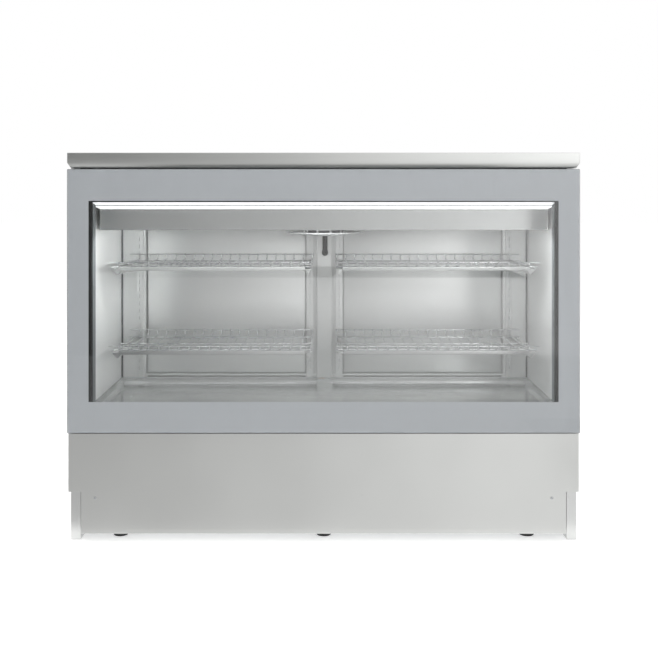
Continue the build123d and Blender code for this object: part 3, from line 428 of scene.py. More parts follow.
def opal_acrylic():
    """Milky acrylic over the lamp board, lit from behind."""
    material, tree, shader, coords = surface("Opal acrylic, lit", "opal", "#f2f4f4", 0.35)
    grain = add(tree, "TexNoise", {"Vector": coords, "Scale": 120.0, "Detail": 2.0})
    bump = add(tree, "Bump", {"Height": grain.outputs[0], "Strength": 0.1, "Distance": 0.02 * MM})
    tree.links.new(bump.outputs[0], shader.inputs["Normal"])
    shader.inputs["Emission Color"].default_value = linear("#fbfdff")
    shader.inputs["Emission Strength"].default_value = 0.9
    return material


def lit_segment():
    """The glowing bar of a display digit."""
    material, tree, shader, coords = surface("Lit green segment", "green_plastic", "#2fbf62", 0.4)
    glow = add(tree, "TexNoise", {"Vector": coords, "Scale": 300.0})
    level = add(tree, "MapRange", {"Value": glow.outputs[0], "To Min": 0.9, "To Max": 1.1})
    tree.links.new(level.outputs[0], shader.inputs["Emission Strength"])
    shader.inputs["Emission Color"].default_value = linear("#39d873")
    return material


GLASS = float_glass("Coated low-iron float glass", "#fefefe")
OPAL = opal_acrylic()
DIGIT = lit_segment()
WINDOW = grained("Smoked acrylic window", "black_plastic", "#0c0d0f", 0.12, grain=4.0, relief=0.0)

# %% [markdown]
# ## Making pieces
# A frame piece arrives as loose triangles with razor edges. Real folded sheet has a bend radius
# and moulded plastic a rounded corner, and both catch a line of light. So a copy is merged into
# whole faces, its sharp edges are beveled by a real radius, and the copy stands for the piece.
# %% Helpers for meshes
def slab(bm, low, high):
    """A box between two corners, in millimetres."""
    low, high = Vector(low) * MM, Vector(high) * MM
    place = Matrix.Translation((low + high) / 2) @ Matrix.Diagonal((*(high - low), 1.0))
    return bmesh.ops.create_cube(bm, size=1.0, matrix=place)["verts"]


def slab_pair(bm, low, high):
    """A box on the right of the middle, and its twin on the left."""
    slab(bm, (-high[0], *low[1:]), (-low[0], *high[1:]))
    slab(bm, low, high)


def soften(bm, width, angle=35.0):
    """Round every edge that turns by more than the angle."""
    sharp = [e for e in bm.edges if e.is_manifold and e.calc_face_angle() > radians(angle)]
    bmesh.ops.bevel(bm, geom=sharp, offset=width * MM, offset_type="OFFSET", segments=2,
                    profile=0.5, affect="EDGES", material=-1, clamp_overlap=True)


def piece(bm, name, body, finish, stands_for=()):
    """Turn a bmesh into a finished piece on a body."""
    bmesh.ops.recalc_face_normals(bm, faces=bm.faces)
    mesh = bpy.data.meshes.new(name)
    bm.to_mesh(mesh)
    bm.free()
    mesh.materials.append(finish)
    mesh.shade_smooth()
    mesh.set_sharp_from_angle(angle=radians(35))
    made = bpy.data.objects.new(name, mesh)
    bpy.context.scene.collection.objects.link(made)
    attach(made, body)
    if stands_for:
        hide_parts(*stands_for)
    return made


def whole_faces(node):
    """A merged copy of a frame piece, with its flat triangles joined."""
    bm = bmesh.new()
    bm.from_mesh(NODES[node].data)
    bmesh.ops.remove_doubles(bm, verts=bm.verts, dist=0.002 * MM)
    bmesh.ops.dissolve_limit(bm, angle_limit=radians(0.5), use_dissolve_boundaries=False,
                             verts=bm.verts, edges=bm.edges)
    return bm


def rounded(node, width, finish):
    """A copy of a frame piece with rounded edges, which stands for it."""
    bm = whole_faces(node)
    soften(bm, width)
    made = piece(bm, node + "_finished", NODES[node]["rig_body"], finish, [node])
    normals = made.modifiers.new("Normals", "WEIGHTED_NORMAL")
    normals.keep_sharp = True
    return made


def corners(node):
    """The lowest and highest corner of a frame piece, in millimetres."""
    low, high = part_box(node)
    return low / MM, high / MM


def join(bm, other):
    """Add one bmesh to another and free it."""
    bmesh.ops.recalc_face_normals(other, faces=other.faces)
    mesh = bpy.data.meshes.new("joined")
    other.to_mesh(mesh)
    other.free()
    bm.from_mesh(mesh)
    bpy.data.meshes.remove(mesh)


def rod_along_x(bm, x0, x1, y, z, radius):
    """A round bar along X with its end edges rounded."""
    bar = bmesh.new()
    place = Matrix.Translation(Vector(((x0 + x1) / 2, y, z)) * MM) @ Matrix.Rotation(pi / 2, 4, "Y")
    bmesh.ops.create_cone(bar, cap_ends=True, segments=16, radius1=radius * MM, radius2=radius * MM,
                          depth=abs(x1 - x0) * MM, matrix=place)
    soften(bar, 0.5, angle=60.0)
    join(bm, bar)


TURNS = {"Z": Matrix.Identity(4), "Y": Matrix.Rotation(-pi / 2, 4, "X"),
         "-Y": Matrix.Rotation(pi / 2, 4, "X")}


def turned(bm, profile, centre, axis, steps):
    """Spin a profile of (radius, height) points about an axis through the centre, in millimetres."""
    old = set(bm.verts)
    verts = [bm.verts.new((r * MM, 0.0, h * MM)) for r, h in profile]
    edges = [bm.edges.new(two) for two in zip(verts, verts[1:])]
    bmesh.ops.spin(bm, geom=verts + edges, cent=(0, 0, 0), axis=(0, 0, 1), dvec=(0, 0, 0),
                   angle=2 * pi, steps=steps, use_merge=True, use_duplicate=False)
    bmesh.ops.remove_doubles(bm, verts=[v for v in bm.verts if v not in old], dist=0.002 * MM)
    made = [v for v in bm.verts if v not in old]
    bmesh.ops.transform(bm, matrix=Matrix.Translation(Vector(centre) * MM) @ TURNS[axis], verts=made)
    return made


def bent_rod(bm, points, radius, bend, sides=12, steps=4):
    """A round rod along straight runs, bent round each corner."""
    points = [Vector(p) * MM for p in points]
    radius, bend = radius * MM, bend * MM
    heading = (points[1] - points[0]).normalized()
    start = Matrix.Translation(points[0]) @ heading.to_track_quat("Z", "Y").to_matrix().to_4x4()
    end = bmesh.ops.create_circle(bm, cap_ends=True, radius=radius, segments=sides, matrix=start)["verts"]
    edges = list({e for v in end for e in v.link_edges})
    here = points[0]

    def push(edges, step):
        grown = bmesh.ops.extrude_edge_only(bm, edges=edges)["geom"]
        bmesh.ops.translate(bm, vec=step, verts=[g for g in grown if isinstance(g, bmesh.types.BMVert)])
        return [g for g in grown if isinstance(g, bmesh.types.BMEdge)]

    for corner, after in zip(points[1:], points[2:]):
        ahead = (after - corner).normalized()
        angle = heading.angle(ahead)
        tangent = corner - heading * bend * tan(angle / 2)
        edges = push(edges, tangent - here)
        axis = heading.cross(ahead).normalized()
        spun = bmesh.ops.spin(bm, geom=edges, cent=tangent + axis.cross(heading) * bend, axis=axis,
                              dvec=(0, 0, 0), angle=angle, steps=steps, use_duplicate=False)
        edges = [g for g in spun["geom_last"] if isinstance(g, bmesh.types.BMEdge)]
        here = corner + ahead * bend * tan(angle / 2)
        heading = ahead
    edges = push(edges, points[-1] - here)
    bmesh.ops.edgeloop_fill(bm, edges=edges)


def stepped(bm, face, steps, normal):
    """Press steps into a face: each is an inset and a rise along the normal, in millimetres."""
    for inset, rise in steps:
        bmesh.ops.inset_region(bm, faces=[face], thickness=inset * MM, depth=0.0, use_even_offset=True,
                               use_boundary=True)
        bmesh.ops.translate(bm, vec=Vector(normal) * rise * MM, verts=face.verts)
    return face


def screws(name, places, body, toward, head):
    """Zinc-plated button-head screws with a round socket, in one piece."""
    bm = bmesh.new()
    profile = [(0, 0.6), (head * 0.42, 0.6), (head * 0.5, head * 0.42), (head * 0.72, head * 0.36),
               (head * 0.93, head * 0.16), (head, -0.3)]
    for place in places:
        turned(bm, profile, place, toward, steps=12)
    piece(bm, name, body, ZINC)


print("helpers ready")

# %% [markdown]
# ## The cabinet
# The worktop, the side panels, the fascia and the frames are folded sheet. Their radii are about
# one sheet thickness. The worktop is folded with a larger one, so that a sleeve doesn't catch.
# The moulded tray and the control panel's bezel are softened like any moulding.
# %% Folded sheet and mouldings
for node, width, finish in (("worktop", 1.6, STEEL_X), ("outer_panels", 1.2, STEEL_Z),
                            ("front_fascia", 1.0, STEEL_X), ("rear_frame", 0.8, LINING),
                            ("mullion", 0.5, MULLION), ("evaporator_housing", 0.7, VALANCE),
                            ("glazing_frame", 0.6, PROFILE), ("base_pan", 0.4, GALVANISED),
                            ("hinge_brackets", 0.6, STEEL_Z), ("condenser_shroud", 0.4, GALVANISED),
                            ("condensate_tray", 0.6, WHITE_PP), ("control_panel", 0.4, BLACK_ABS),
                            ("front_glass_outer", 0.8, GLASS), ("shelf_uprights", 0.4, UPRIGHT),
                            ("shelf_brackets", 0.35, BRACKET), ("rear_grille", 0.25, STEEL_X),
                            ("led_strip", 0.3, ANODISED), ("lamp_diffuser", 0.5, OPAL)):
    made = rounded(node, width, finish)
    print(node, len(made.data.polygons), "faces")

# %% [markdown]
# The strip lamp hangs in front of the valance and would burn it out. In a studio a black flag
# keeps a lamp off one piece, and light linking does the same here.
# %% The valance's flag
flagged = bpy.data.collections.new("Flagged from the strip")
flagged.objects.link(bpy.data.objects["evaporator_housing_finished"])
strip.light_linking.receiver_collection = flagged
flagged.collection_objects[0].light_linking.link_state = "EXCLUDE"

# %% [markdown]
# The fascia hangs on two button-head screws, and the floor tray is held down by a third. At the
# back, a screw stands near each corner of the hinge plates and along the cover.
# %% Screws
FASCIA_SCREW = (670.0, 135.0)
FLOOR_SCREW = (-641.0, 68.0)
TRAY_SHEET = 1.2
HINGE_PLATE = 3.0
HINGE_SCREWS = [(x, z) for x in (720.0, 738.0) for z in (306.0, 322.0)]
COVER_SCREWS_X = (-706.0, -160.0, 60.0, 280.0, 706.0)
COVER_EDGE = 14.0

fascia_front = corners("front_fascia")[0].y
tray_low, tray_high = corners("floor_tray")
hinge_back = corners("hinge_brackets")[0].y + HINGE_PLATE
cover_low, cover_high = corners("rear_grille")
cover = cover_high.y
screws("fascia_screws", [(side * FASCIA_SCREW[0], fascia_front, FASCIA_SCREW[1]) for side in (-1, 1)],
       "cabinet", "-Y", 4.6)
screws("floor_screw", [(*FLOOR_SCREW, tray_low.z + TRAY_SHEET)], "cabinet", "Z", 4.0)
screws("hinge_screws", [(side * x, hinge_back, z) for side in (-1, 1) for x, z in HINGE_SCREWS],
       "cabinet", "Y", 3.6)
screws("grille_screws", [(x, cover, z) for x in COVER_SCREWS_X
                         for z in (cover_low.z + COVER_EDGE, cover_high.z - COVER_EDGE)],
       "cabinet", "Y", 4.2)
print(3 + 2 * len(HINGE_SCREWS) + 2 * len(COVER_SCREWS_X), "screws")

# %% [markdown]
# A black rubber strip is pressed into the groove along the sill: it is painted shade, which makes
# the groove a dark line, and more black strips fill the gap below the worktop as painted shade. A
# grey strip joins the lamp's two opal covers. A bead of dark grey sealant runs down each back
# corner, where the side lining meets the back frame; its dark grey is partly the sealant's own
# colour and partly painted shade of the corner. It is tooled with a finger, so a round rod half
# sunk in the corner makes it.
# %% Strips and sealant
BEAD_R = 4.0
BEAD_X, BEAD_Y = 710.6, 242.4
BEAD_TOP = 915.0
SILL_SHADE_STRIP = ((66.0, 246.4, 385.7), (622.0, 248.9, 388.8))
SIDE_GAP_SHADE_STRIP = ((724.0, -256.0, 1101.2), (748.3, 255.0, 1103.7))
BACK_GAP_SHADE_STRIP = ((-724.0, 245.5, 1100.3), (724.0, 255.0, 1103.7))
COVER_JOINT = ((-687.5, -209.4, 991.7), (687.5, -207.6, 994.4))

bm = bmesh.new()
for side in (-1, 1):
    middle = Vector((side * BEAD_X, BEAD_Y, (tray_high.z + BEAD_TOP) / 2)) * MM
    bmesh.ops.create_cone(bm, cap_ends=True, segments=16, radius1=BEAD_R * MM, radius2=BEAD_R * MM,
                          depth=(BEAD_TOP - tray_high.z) * MM, matrix=Matrix.Translation(middle))
# The bead's dark grey is partly the sealant's colour and partly painted shade of the corner.
piece(bm, "corner_sealant_and_shade", "cabinet", SEALANT_AND_CORNER_SHADE)
# The sill strip: its black is painted shade in the groove.
bm = bmesh.new()
slab_pair(bm, *SILL_SHADE_STRIP)
soften(bm, 0.4)
piece(bm, "sill_shade_strip", "cabinet", RUBBER_AND_GAP_SHADE)
# The worktop strips: their black is painted shade in the gap below the worktop.
bm = bmesh.new()
slab_pair(bm, *SIDE_GAP_SHADE_STRIP)
slab(bm, *BACK_GAP_SHADE_STRIP)
soften(bm, 0.5)
piece(bm, "worktop_gap_shade_strip", "cabinet", RUBBER_AND_GAP_SHADE)
bm = bmesh.new()
slab(bm, *COVER_JOINT)
soften(bm, 0.2)
piece(bm, "diffuser_joint", "cabinet", PROFILE)
print("sealant from", round(tray_high.z), "to", round(BEAD_TOP), "mm")

# %% [markdown]
# ## The wire shelves
# A shelf is drawn wire bent up at both ends, spot-welded to cross rails and to a flat bar that
# carries the price tickets. Each wire is one bent rod, 4.6 mm thick, so its bends are true arcs
# that catch a line of light. The rails run a little past the last wire, as they do on the real
# shelf. The number of wires, 20 to a shelf, is counted from the picture.
# %% Shelves
WIRES = 20
WIRE_R, RAIL_R, LIP_R = 2.3, 2.8, 1.9
BEND = 5.0
STOP = 21.0  # the rear stop stands this far above the wires
LIP = 14.6  # and the front lip this far
FIRST, LAST = 4.0, 33.0  # from the rails' inner and outer ends to the end wires
WELD = 0.6  # a weld sinks one wire this far into the other
MIDDLE_RAIL_Y = 60.0
BAR_START = 22.0
BAR_Y = (2.6, 5.6)
BAR_Z = (-11.0, 0.8)


def wire_shelf(node):
    """Bent wires on five rails and a flat bar, in place of a frame shelf."""
    low, high = corners(node)
    body = NODES[node]["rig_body"]
    side = -1 if low.x < 0 else 1
    near, far = sorted((abs(low.x), abs(high.x)))
    level = high.z - STOP
    first, last = near + FIRST, far - LAST
    front, back = low.y + WIRE_R, high.y - WIRE_R
    bm = bmesh.new()
    for i in range(WIRES):
        x = side * (first + (last - first) * i / (WIRES - 1))
        run = [(x, front, level + LIP), (x, front, level), (x, back, level), (x, back, high.z - 0.2)]
        bent_rod(bm, run, WIRE_R, BEND)
    under = level - WIRE_R - RAIL_R + WELD
    for y, z, radius in ((low.y + 6.4, level + 12.0, LIP_R), (high.y - 6.4, high.z - 3.0, LIP_R),
                         (low.y + 40.0, under, RAIL_R), (MIDDLE_RAIL_Y, under, RAIL_R),
                         (high.y - 26.0, under, RAIL_R)):
        rod_along_x(bm, side * near, side * far, y, z, radius)
    bar = bmesh.new()
    ends = sorted((side * (near + BAR_START), side * last))
    foot = level - WIRE_R
    slab(bar, (ends[0], low.y + BAR_Y[0], foot + BAR_Z[0]), (ends[1], low.y + BAR_Y[1], foot + BAR_Z[1]))
    soften(bar, 0.4)
    piece(bar, node + "_bar", body, BRACKET)
    return piece(bm, node + "_wires", body, WIRE, [node])


for node in ("shelf_upper_left", "shelf_upper_right", "shelf_lower_left", "shelf_lower_right"):
    made = wire_shelf(node)
    print(node, len(made.data.polygons), "faces")

# %% [markdown]
# ## The cooling gear under the ceiling
# The fan guard is one moulding: rings on radial ribs, with a short slatted drum. A moulded ring
# is round in section and not square, so each is spun from a small closed circle. A black inlet
# ring behind the ribs makes the dark slots of the picture. The probe is a rubber sleeve over a
# metal bulb, held by a clip, with its lead going up into the housing.
# %% Fan guard
RIBS = 10
DRUM_R = 67.0
INNER_RINGS = (51.5, 35.5, 19.5)
FLANGE_RINGS = (83.5, 96.5, 109.5, 122.0)
INLET = [(58.0, 899.0), (60.5, 899.0), (61.5, 914.8), (60.0, 914.8), (58.0, 899.0)]


def ring(bm, radius, z, thick):
    """A moulded ring about Z, spun from a round section."""
    section = [(radius + thick * cos(pi * i / 5), z + thick * sin(pi * i / 5)) for i in range(10)]
    turned(bm, section + section[:1], (0.0, 0.0, 0.0), "Z", steps=64)


guard_low, guard_high = corners("evaporator_fan_guard")
middle = (guard_low.z + guard_high.z) / 2 - 1.5
bm = bmesh.new()
for z in (guard_high.z - 2.0, guard_low.z + 2.0):
    ring(bm, DRUM_R, z, 1.9)
for radius in INNER_RINGS:
    ring(bm, radius, guard_low.z + 1.6, 1.5)
for radius in FLANGE_RINGS:
    ring(bm, radius, middle, 1.5)
for i in range(RIBS):
    rib = bmesh.new()
    slab(rib, (18.5, -1.5, guard_low.z), (67.5, 1.5, guard_low.z + 3.0))
    slab(rib, (65.2, -3.0, guard_low.z), (68.4, 3.0, guard_high.z))
    slab(rib, (66.5, -2.5, middle - 1.5), (122.5, 2.5, middle + 1.5))
    soften(rib, 0.5)
    turn = Matrix.Rotation(2 * pi * i / RIBS, 3, "Z")
    bmesh.ops.rotate(rib, cent=(0, 0, 0), matrix=turn, verts=rib.verts)
    join(bm, rib)
made = piece(bm, "fan_guard_moulding", "cabinet", WHITE_ABS, ["evaporator_fan_guard"])
bm = bmesh.new()
turned(bm, INLET, (0.0, 0.0, 0.0), "Z", steps=64)
piece(bm, "fan_inlet_ring", "cabinet", BLACK_PA)
print("guard", len(made.data.polygons), "faces")

# %% Probe
PROBE_X, PROBE_Y = 2.0, 213.5
BULB_Z, SLEEVE_TOP = 822.5, 884.0
BULB_R, SLEEVE_R, GROOVE_R = 10.3, 8.4, 7.8
LEAD_R, LEAD_Z, LEAD_END = 2.4, 922.5, 200.4
FRAME_FACE = 224.8

bm = bmesh.new()
bulb = [(BULB_R * sin(a), BULB_Z - BULB_R * cos(a)) for a in [pi / 2 * i / 6 for i in range(7)]]
grooves = [(radius, z) for top in (838.0, 846.0)
           for radius, z in ((SLEEVE_R, top), (GROOVE_R, top + 1.0), (SLEEVE_R, top + 2.0))]
sleeve = [(BULB_R, 829.0), (SLEEVE_R, 832.0), *grooves, (SLEEVE_R, SLEEVE_TOP - 3.0), (5.0, SLEEVE_TOP),
          (0.0, SLEEVE_TOP)]
turned(bm, bulb + sleeve, (PROBE_X, PROBE_Y, 0.0), "Z", steps=32)
lead = [(PROBE_X, PROBE_Y, SLEEVE_TOP - 1.0), (PROBE_X, PROBE_Y, LEAD_Z), (PROBE_X, LEAD_END, LEAD_Z)]
bent_rod(bm, lead, LEAD_R, 6.0)
clip = bmesh.new()
slab(clip, (PROBE_X - 5.0, PROBE_Y + 4.0, 868.0), (PROBE_X + 5.0, FRAME_FACE, 880.0))
soften(clip, 0.8)
join(bm, clip)
made = piece(bm, "probe_in_sleeve", "cabinet", RUBBER_AND_GAP_SHADE, ["temperature_probe"])
print("probe", len(made.data.polygons), "faces")

# %% [markdown]
# A fan blade is a twisted, curved plate: it stands steeper at the hub, where it moves slowly,
# than at its tip. So a flat grid is turned more at its root than at its end, bowed, and given
# thickness. Both fans are made so, and each rides on its own spinning body.
# %% Fans
SHAFT_BORE = 3.05
ROOT_PITCH, TWIST = 36.0, 16.0
BLADE = 1.6


def axial_fan(name, node, centre, axis, radius, hub, height, blades=5):
    """Twisted blades round a domed hub, about an axis."""
    bm = bmesh.new()
    half = height / 2
    turned(bm, [(SHAFT_BORE, -half), (hub - 1.0, -half), (hub, 1.0 - half), (hub, half - 4.0),
                (hub - 1.2, half - 1.2), (hub - 4.0, half), (SHAFT_BORE, half), (SHAFT_BORE, -half)],
           (0, 0, 0), "Z", steps=48)
    root = hub - 2.0
    for i in range(blades):
        blade = bmesh.new()
        bmesh.ops.create_grid(blade, x_segments=10, y_segments=8, size=0.5)
        for v in blade.verts:
            share = v.co.x + 0.5
            chord = (0.56 + 0.16 * share) * radius * v.co.y
            angle = radians(ROOT_PITCH - TWIST * share)
            bow = 0.035 * radius * (1.0 - 4.0 * v.co.y ** 2)
            reach = root + (radius - root) * share
            sweep = chord * cos(angle) / reach
            rise = chord * sin(angle) * 0.55 + bow
            v.co = Vector((reach * cos(sweep), reach * sin(sweep), rise)) * MM
        bmesh.ops.solidify(blade, geom=blade.faces, thickness=BLADE * MM)
        turn = Matrix.Rotation(2 * pi * i / blades, 3, "Z")
        bmesh.ops.rotate(blade, cent=(0, 0, 0), matrix=turn, verts=blade.verts)
        join(bm, blade)
    place = Matrix.Translation(Vector(centre) * MM) @ TURNS[axis]
    bmesh.ops.transform(bm, matrix=place, verts=bm.verts)
    piece(bm, name, NODES[node]["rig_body"], BLACK_PA, [node])


axial_fan("evaporator_fan_rotor", "evaporator_fan_blades", (0.0, 0.0, 950.0), "Z", 95.5, 32.0, 24.0)
axial_fan("condenser_fan_rotor", "condenser_fan_blades", (-350.0, 165.0, 171.0), "-Y", 91.5, 30.0, 22.0)
print("two fans of five blades")

# %% [markdown]
# ## The doors
# Each door is a steel pan filled with foam, with a steel liner inside. The liner is pressed so
# that its middle stands into the opening, which keeps a cold bridge short. The seal is a hollow
# magnetic profile with a bellows, so its section steps in and out. The grip is an extrusion that
# is closed by a moulded cap at each end, since a sawn end is sharp.
# %% Doors
PLUG_X = (67.0, 621.0)
PLUG_Z = (400.0, 996.0)
PLUG_FRONT = 250.5
PLUG_BEVEL = 1.8
BELLOWS = [(0.01, -1.2), (3.0, 0.0), (0.5, -1.8), (1.5, -1.2), (6.0, 0.0),
           (1.5, 1.2), (0.5, 1.8), (3.0, 0.0), (0.01, 1.2)]
CAP, CAP_INSET = 1.6, 0.3


def door(side):
    """All the visible layers of one door."""
    body = f"door_{side}"
    sign = -1 if side == "left" else 1
    rounded(f"{body}_skin", 1.5, STEEL_Z)
    low, high = corners(f"{body}_liner")
    bm = bmesh.new()
    slab(bm, low, high)
    plug = bmesh.new()
    xs = sorted(sign * x for x in PLUG_X)
    slab(plug, (xs[0], PLUG_FRONT, PLUG_Z[0]), (xs[1], low.y + 0.6, PLUG_Z[1]))
    rim = [e for e in plug.edges if min(v.co.y for v in e.verts) < (PLUG_FRONT + 0.5) * MM]
    bmesh.ops.bevel(plug, geom=rim, offset=PLUG_BEVEL * MM, offset_type="OFFSET", segments=3,
                    profile=0.5, affect="EDGES", material=-1)
    join(bm, plug)
    piece(bm, f"{body}_liner_pressing", body, DOOR_LINING, [f"{body}_liner"])
    low, high = corners(f"{body}_gasket")
    bm = bmesh.new()
    bmesh.ops.create_grid(bm, x_segments=1, y_segments=1, size=0.5)
    centre = Vector(((low.x + high.x) / 2, high.y, (low.z + high.z) / 2)) * MM
    place = Matrix.Translation(centre) @ Matrix.Rotation(pi / 2, 4, "X")
    size = Matrix.Diagonal(((high.x - low.x) * MM, (high.z - low.z) * MM, 1.0, 1.0))
    bmesh.ops.transform(bm, matrix=place @ size, verts=bm.verts)
    bm.faces.ensure_lookup_table()
    field = stepped(bm, bm.faces[0], BELLOWS, (0, 1, 0))
    bmesh.ops.delete(bm, geom=[field], context="FACES_ONLY")
    bmesh.ops.bridge_loops(bm, edges=[e for e in bm.edges if e.is_boundary])
    piece(bm, f"{body}_bellows_seal", body, SEAL, [f"{body}_gasket"])
    grip = rounded(f"{body}_handle", 0.8, ANODISED)
    low, high = corners(f"{body}_handle")
    caps = bmesh.new()
    for z in (low.z - CAP, high.z):
        slab(caps, (low.x + CAP_INSET, low.y + CAP_INSET, z),
             (high.x - CAP_INSET, high.y - CAP_INSET, z + CAP))
    soften(caps, 0.6)
    piece(caps, f"{body}_grip_caps", body, BLACK_ABS)
    return grip


for side in ("left", "right"):
    made = door(side)
    print(side, "grip", len(made.data.polygons), "faces")

# %% [markdown]
# ## The base at the back
# Louvres are sheared and pushed out of the sheet, so each is a hood, closed above and at its
# ends and open below. Each is a box without its lower and back faces, whose upper edge is drawn
# back to a slope, and which is given the sheet's thickness.
# %% Louvres
HOOD_ROWS, HOOD_PITCH, HOOD_FIRST = 14, 17.0, 60.5
HOOD_COLUMNS = (-460.0, -350.0, -240.0)
HOOD_HALF, HOOD_DEEP, HOOD_TALL = 49.0, 4.8, 10.0
HOOD_SLOPE = 3.6
HOOD_BEVEL = 1.2
HOOD_SHEET = 0.8

bm = bmesh.new()
for row in range(HOOD_ROWS):
    z = HOOD_FIRST + HOOD_PITCH * row
    for x in HOOD_COLUMNS:
        hood = bmesh.new()
        slab(hood, (x - HOOD_HALF, cover - 0.4, z), (x + HOOD_HALF, cover + HOOD_DEEP, z + HOOD_TALL))
        front = [v for v in hood.verts if v.co.y > cover * MM]
        crest = [v for v in front if v.co.z > (z + HOOD_TALL / 2) * MM]
        bmesh.ops.translate(hood, vec=(0, -HOOD_SLOPE * MM, 0), verts=crest)
        ends = [e for e in hood.edges if all(v in front for v in e.verts)]
        bmesh.ops.bevel(hood, geom=ends, offset=HOOD_BEVEL * MM, offset_type="OFFSET", segments=3,
                        profile=0.5, affect="EDGES", material=-1)
        hidden = [f for f in hood.faces if f.normal.z < -0.9 or f.normal.y < -0.9]
        bmesh.ops.delete(hood, geom=hidden, context="FACES")
        bmesh.ops.solidify(hood, geom=hood.faces, thickness=HOOD_SHEET * MM)
        join(bm, hood)
made = piece(bm, "louvre_hoods", "cabinet", STEEL_X)
print(HOOD_ROWS * len(HOOD_COLUMNS), "hoods,", len(made.data.polygons), "faces")

# %% [markdown]
# ## The controls
# The controller has a smoked window with a lit reading behind it, three soft keys with printed
# signs, and a rocker with the usual two marks for on and off. They are read from behind the
# counter, so from there +X is to the left. The reading is a 4 of four bars, and a degree ring.
# %% Display
DISPLAY_X, DISPLAY_Z = (470.4, 535.6), (229.4, 260.6)
DIGIT_AT = (505.0, 245.0)
DEGREE_AT = (492.0, 251.0)
BARS = [(0.0, 0.0, 9.0, 1.6), (-5.0, 4.0, 1.6, 6.4), (5.0, 4.0, 1.6, 6.4), (5.0, -4.0, 1.6, 6.4)]


def ring_mark(bm, inner, outer, thick, place):
    """A flat printed ring that faces the back."""
    section = [(inner, 0.0), (outer, 0.0), (outer, thick), (inner, thick), (inner, 0.0)]
    return turned(bm, section, place, "Y", steps=24)


face = corners("control_panel")[1].y
bm = bmesh.new()
slab(bm, (DISPLAY_X[0], face - 1.2, DISPLAY_Z[0]), (DISPLAY_X[1], face - 0.4, DISPLAY_Z[1]))
soften(bm, 0.2)
piece(bm, "display_window", "cabinet", WINDOW)
bm = bmesh.new()
for across, up, wide, tall in BARS:
    x, z = DIGIT_AT[0] - across, DIGIT_AT[1] + up
    slab(bm, (x - wide / 2, face - 0.42, z - tall / 2), (x + wide / 2, face - 0.2, z + tall / 2))
ring_mark(bm, 1.5, 2.6, 0.2, (DEGREE_AT[0], face - 0.4, DEGREE_AT[1]))
soften(bm, 0.05)
piece(bm, "display_reading", "cabinet", DIGIT)
print("reading at", face - 0.4)

# %% Key signs and the rocker's marks
KEY_Z = 245.0
SIGN_R, SIGN_THICK = 2.2, 0.2
ROCKER_X = 638.0
ON_Z, OFF_Z = 253.0, 237.0
ROCKER_SLOPE = 0.204
ROCKER_DROP = 1.35  # the middle of each slope lies this far below the rocker's tip

for name, turn in (("key_down", pi), ("key_up", 0.0)):
    low, high = corners(name)
    bm = bmesh.new()
    place = Matrix.Translation(Vector(((low.x + high.x) / 2, high.y + 0.05, KEY_Z)) * MM)
    place = place @ Matrix.Rotation(turn, 4, "Y") @ Matrix.Rotation(-pi / 2, 4, "X")
    bmesh.ops.create_cone(bm, cap_ends=True, segments=3, radius1=SIGN_R * MM, radius2=SIGN_R * MM,
                          depth=SIGN_THICK * MM, matrix=place)
    piece(bm, name + "_sign", NODES[name]["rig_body"], MARK)
low, high = corners("key_set")
bm = bmesh.new()
ring_mark(bm, 1.3, 2.1, 0.15, ((low.x + high.x) / 2, high.y, KEY_Z))
piece(bm, "key_set_sign", NODES["key_set"]["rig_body"], MARK)
for node in ("key_set", "key_down", "key_up"):
    rounded(node, 0.3, GREY_KEY)
rounded("switch_rocker", 0.5, GREEN_LENS)
level = corners("switch_rocker")[1].y - ROCKER_DROP
slope = Matrix.Rotation(-ROCKER_SLOPE, 4, "X")
bm = bmesh.new()
slab(bm, (-0.7, 0.0, -3.2), (0.7, 0.2, 3.2))
place = Matrix.Translation(Vector((ROCKER_X, level, ON_Z)) * MM)
bmesh.ops.transform(bm, matrix=place @ slope.inverted(), verts=bm.verts)
off_mark = ring_mark(bm, 2.0, 3.2, 0.2, (0, 0, 0))
place = Matrix.Translation(Vector((ROCKER_X, level, OFF_Z)) * MM)
bmesh.ops.transform(bm, matrix=place @ slope, verts=off_mark)
piece(bm, "rocker_marks", NODES["switch_rocker"]["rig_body"], MARK)
print("signs on three keys and a rocker")

# %% [markdown]
# ## The gland and the feet
# The gland is turned from nylon: a six-sided flange against the sheet and a ribbed dome nut,
# with the bore kept open for a cord. A foot is a pad, a six-sided collar for a spanner and a
# threaded stem, turned round its own axis, so it rides on its own body.
# %% Gland
GLAND = [(4.5, -17.8), (7.8, -17.8), (7.8, 5.5), (9.7, 6.3), (9.9, 7.5), (9.9, 13.0), (8.6, 16.5),
         (6.5, 18.0), (4.9, 18.0), (4.5, 17.4), (4.5, -17.8)]
FLANGE = [(7.0, 0.1), (11.9, 0.1), (11.9, 4.6), (10.9, 5.6), (7.0, 5.6), (7.0, 0.1)]
GRIP_RIBS = 16

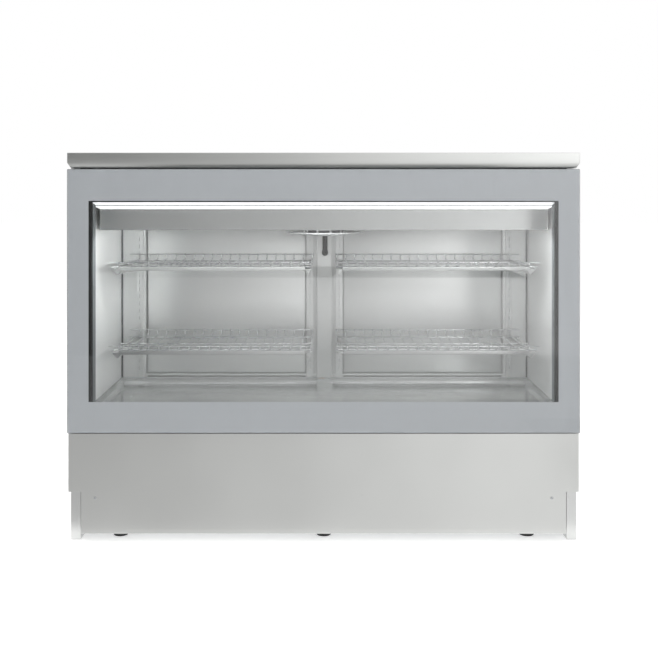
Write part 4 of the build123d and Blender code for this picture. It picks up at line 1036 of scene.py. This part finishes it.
low, high = corners("cable_gland")
place = ((low.x + high.x) / 2, cover, (low.z + high.z) / 2)
bm = bmesh.new()
turned(bm, GLAND, place, "Y", steps=48)
turned(bm, FLANGE, place, "Y", steps=6)
for i in range(GRIP_RIBS):
    rib = bmesh.new()
    slab(rib, (9.4, 7.5, -0.7), (10.2, 13.5, 0.7))
    turn = Matrix.Translation(Vector(place) * MM) @ Matrix.Rotation(2 * pi * i / GRIP_RIBS, 4, "Y")
    bmesh.ops.transform(rib, matrix=turn, verts=rib.verts)
    join(bm, rib)
piece(bm, "gland_turned", "cabinet", BLACK_PA, ["cable_gland"])
print("gland at", [round(v) for v in place])

# %% Feet
PAD = [(0.0, 0.0), (21.4, 0.0), (22.5, 1.1), (22.5, 6.6), (21.6, 8.0), (17.6, 11.6), (16.0, 12.0)]
THREAD = [(4.9 if step % 2 else 4.35, 20.0 + 0.9 * step) for step in range(43)]
STEM = [(5.0, 12.0), (5.0, 19.6), *THREAD, (3.6, 60.0), (0.0, 60.0)]
COLLAR = [(4.6, 11.8), (10.2, 11.8), (10.2, 19.2), (9.4, 20.0), (4.6, 20.0), (4.6, 11.8)]

for node in [name for name in NODES if name.startswith("foot_")]:
    low, high = corners(node)
    place = ((low.x + high.x) / 2, (low.y + high.y) / 2, 0.0)
    bm = bmesh.new()
    turned(bm, PAD + STEM, place, "Z", steps=32)
    turned(bm, COLLAR, place, "Z", steps=6)
    piece(bm, node + "_turned", NODES[node]["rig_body"], BLACK_PA, [node])
print("six feet")

# %% [markdown]
# ## The pieces that keep their shape
# The lining, the tray, the glass, the finned blocks, the compressor and the pipes already have
# their final form in the frame, so they only get their finish.
# %% Pieces that keep their shape
KEPT = {
    "inner_liner": WALLS, "floor_tray": TRAY, "cabinet_foam": FOAM, "glass_border": PRINT,
    "glass_spacer": BUTYL, "front_glass_inner": GLASS, "evaporator_coil": FINS,
    "evaporator_fan_motor": ENAMEL, "drain_pipe": WHITE_PP, "compressor": ENAMEL,
    "condenser_coil": FINS, "condenser_fan_motor": ENAMEL, "refrigerant_pipes": COPPER,
    "door_left_foam": FOAM, "door_right_foam": FOAM,
}
for node, finish in KEPT.items():
    mesh = NODES[node].data
    mesh.materials.clear()
    mesh.materials.append(finish)
print(len(KEPT), "pieces keep their shape")
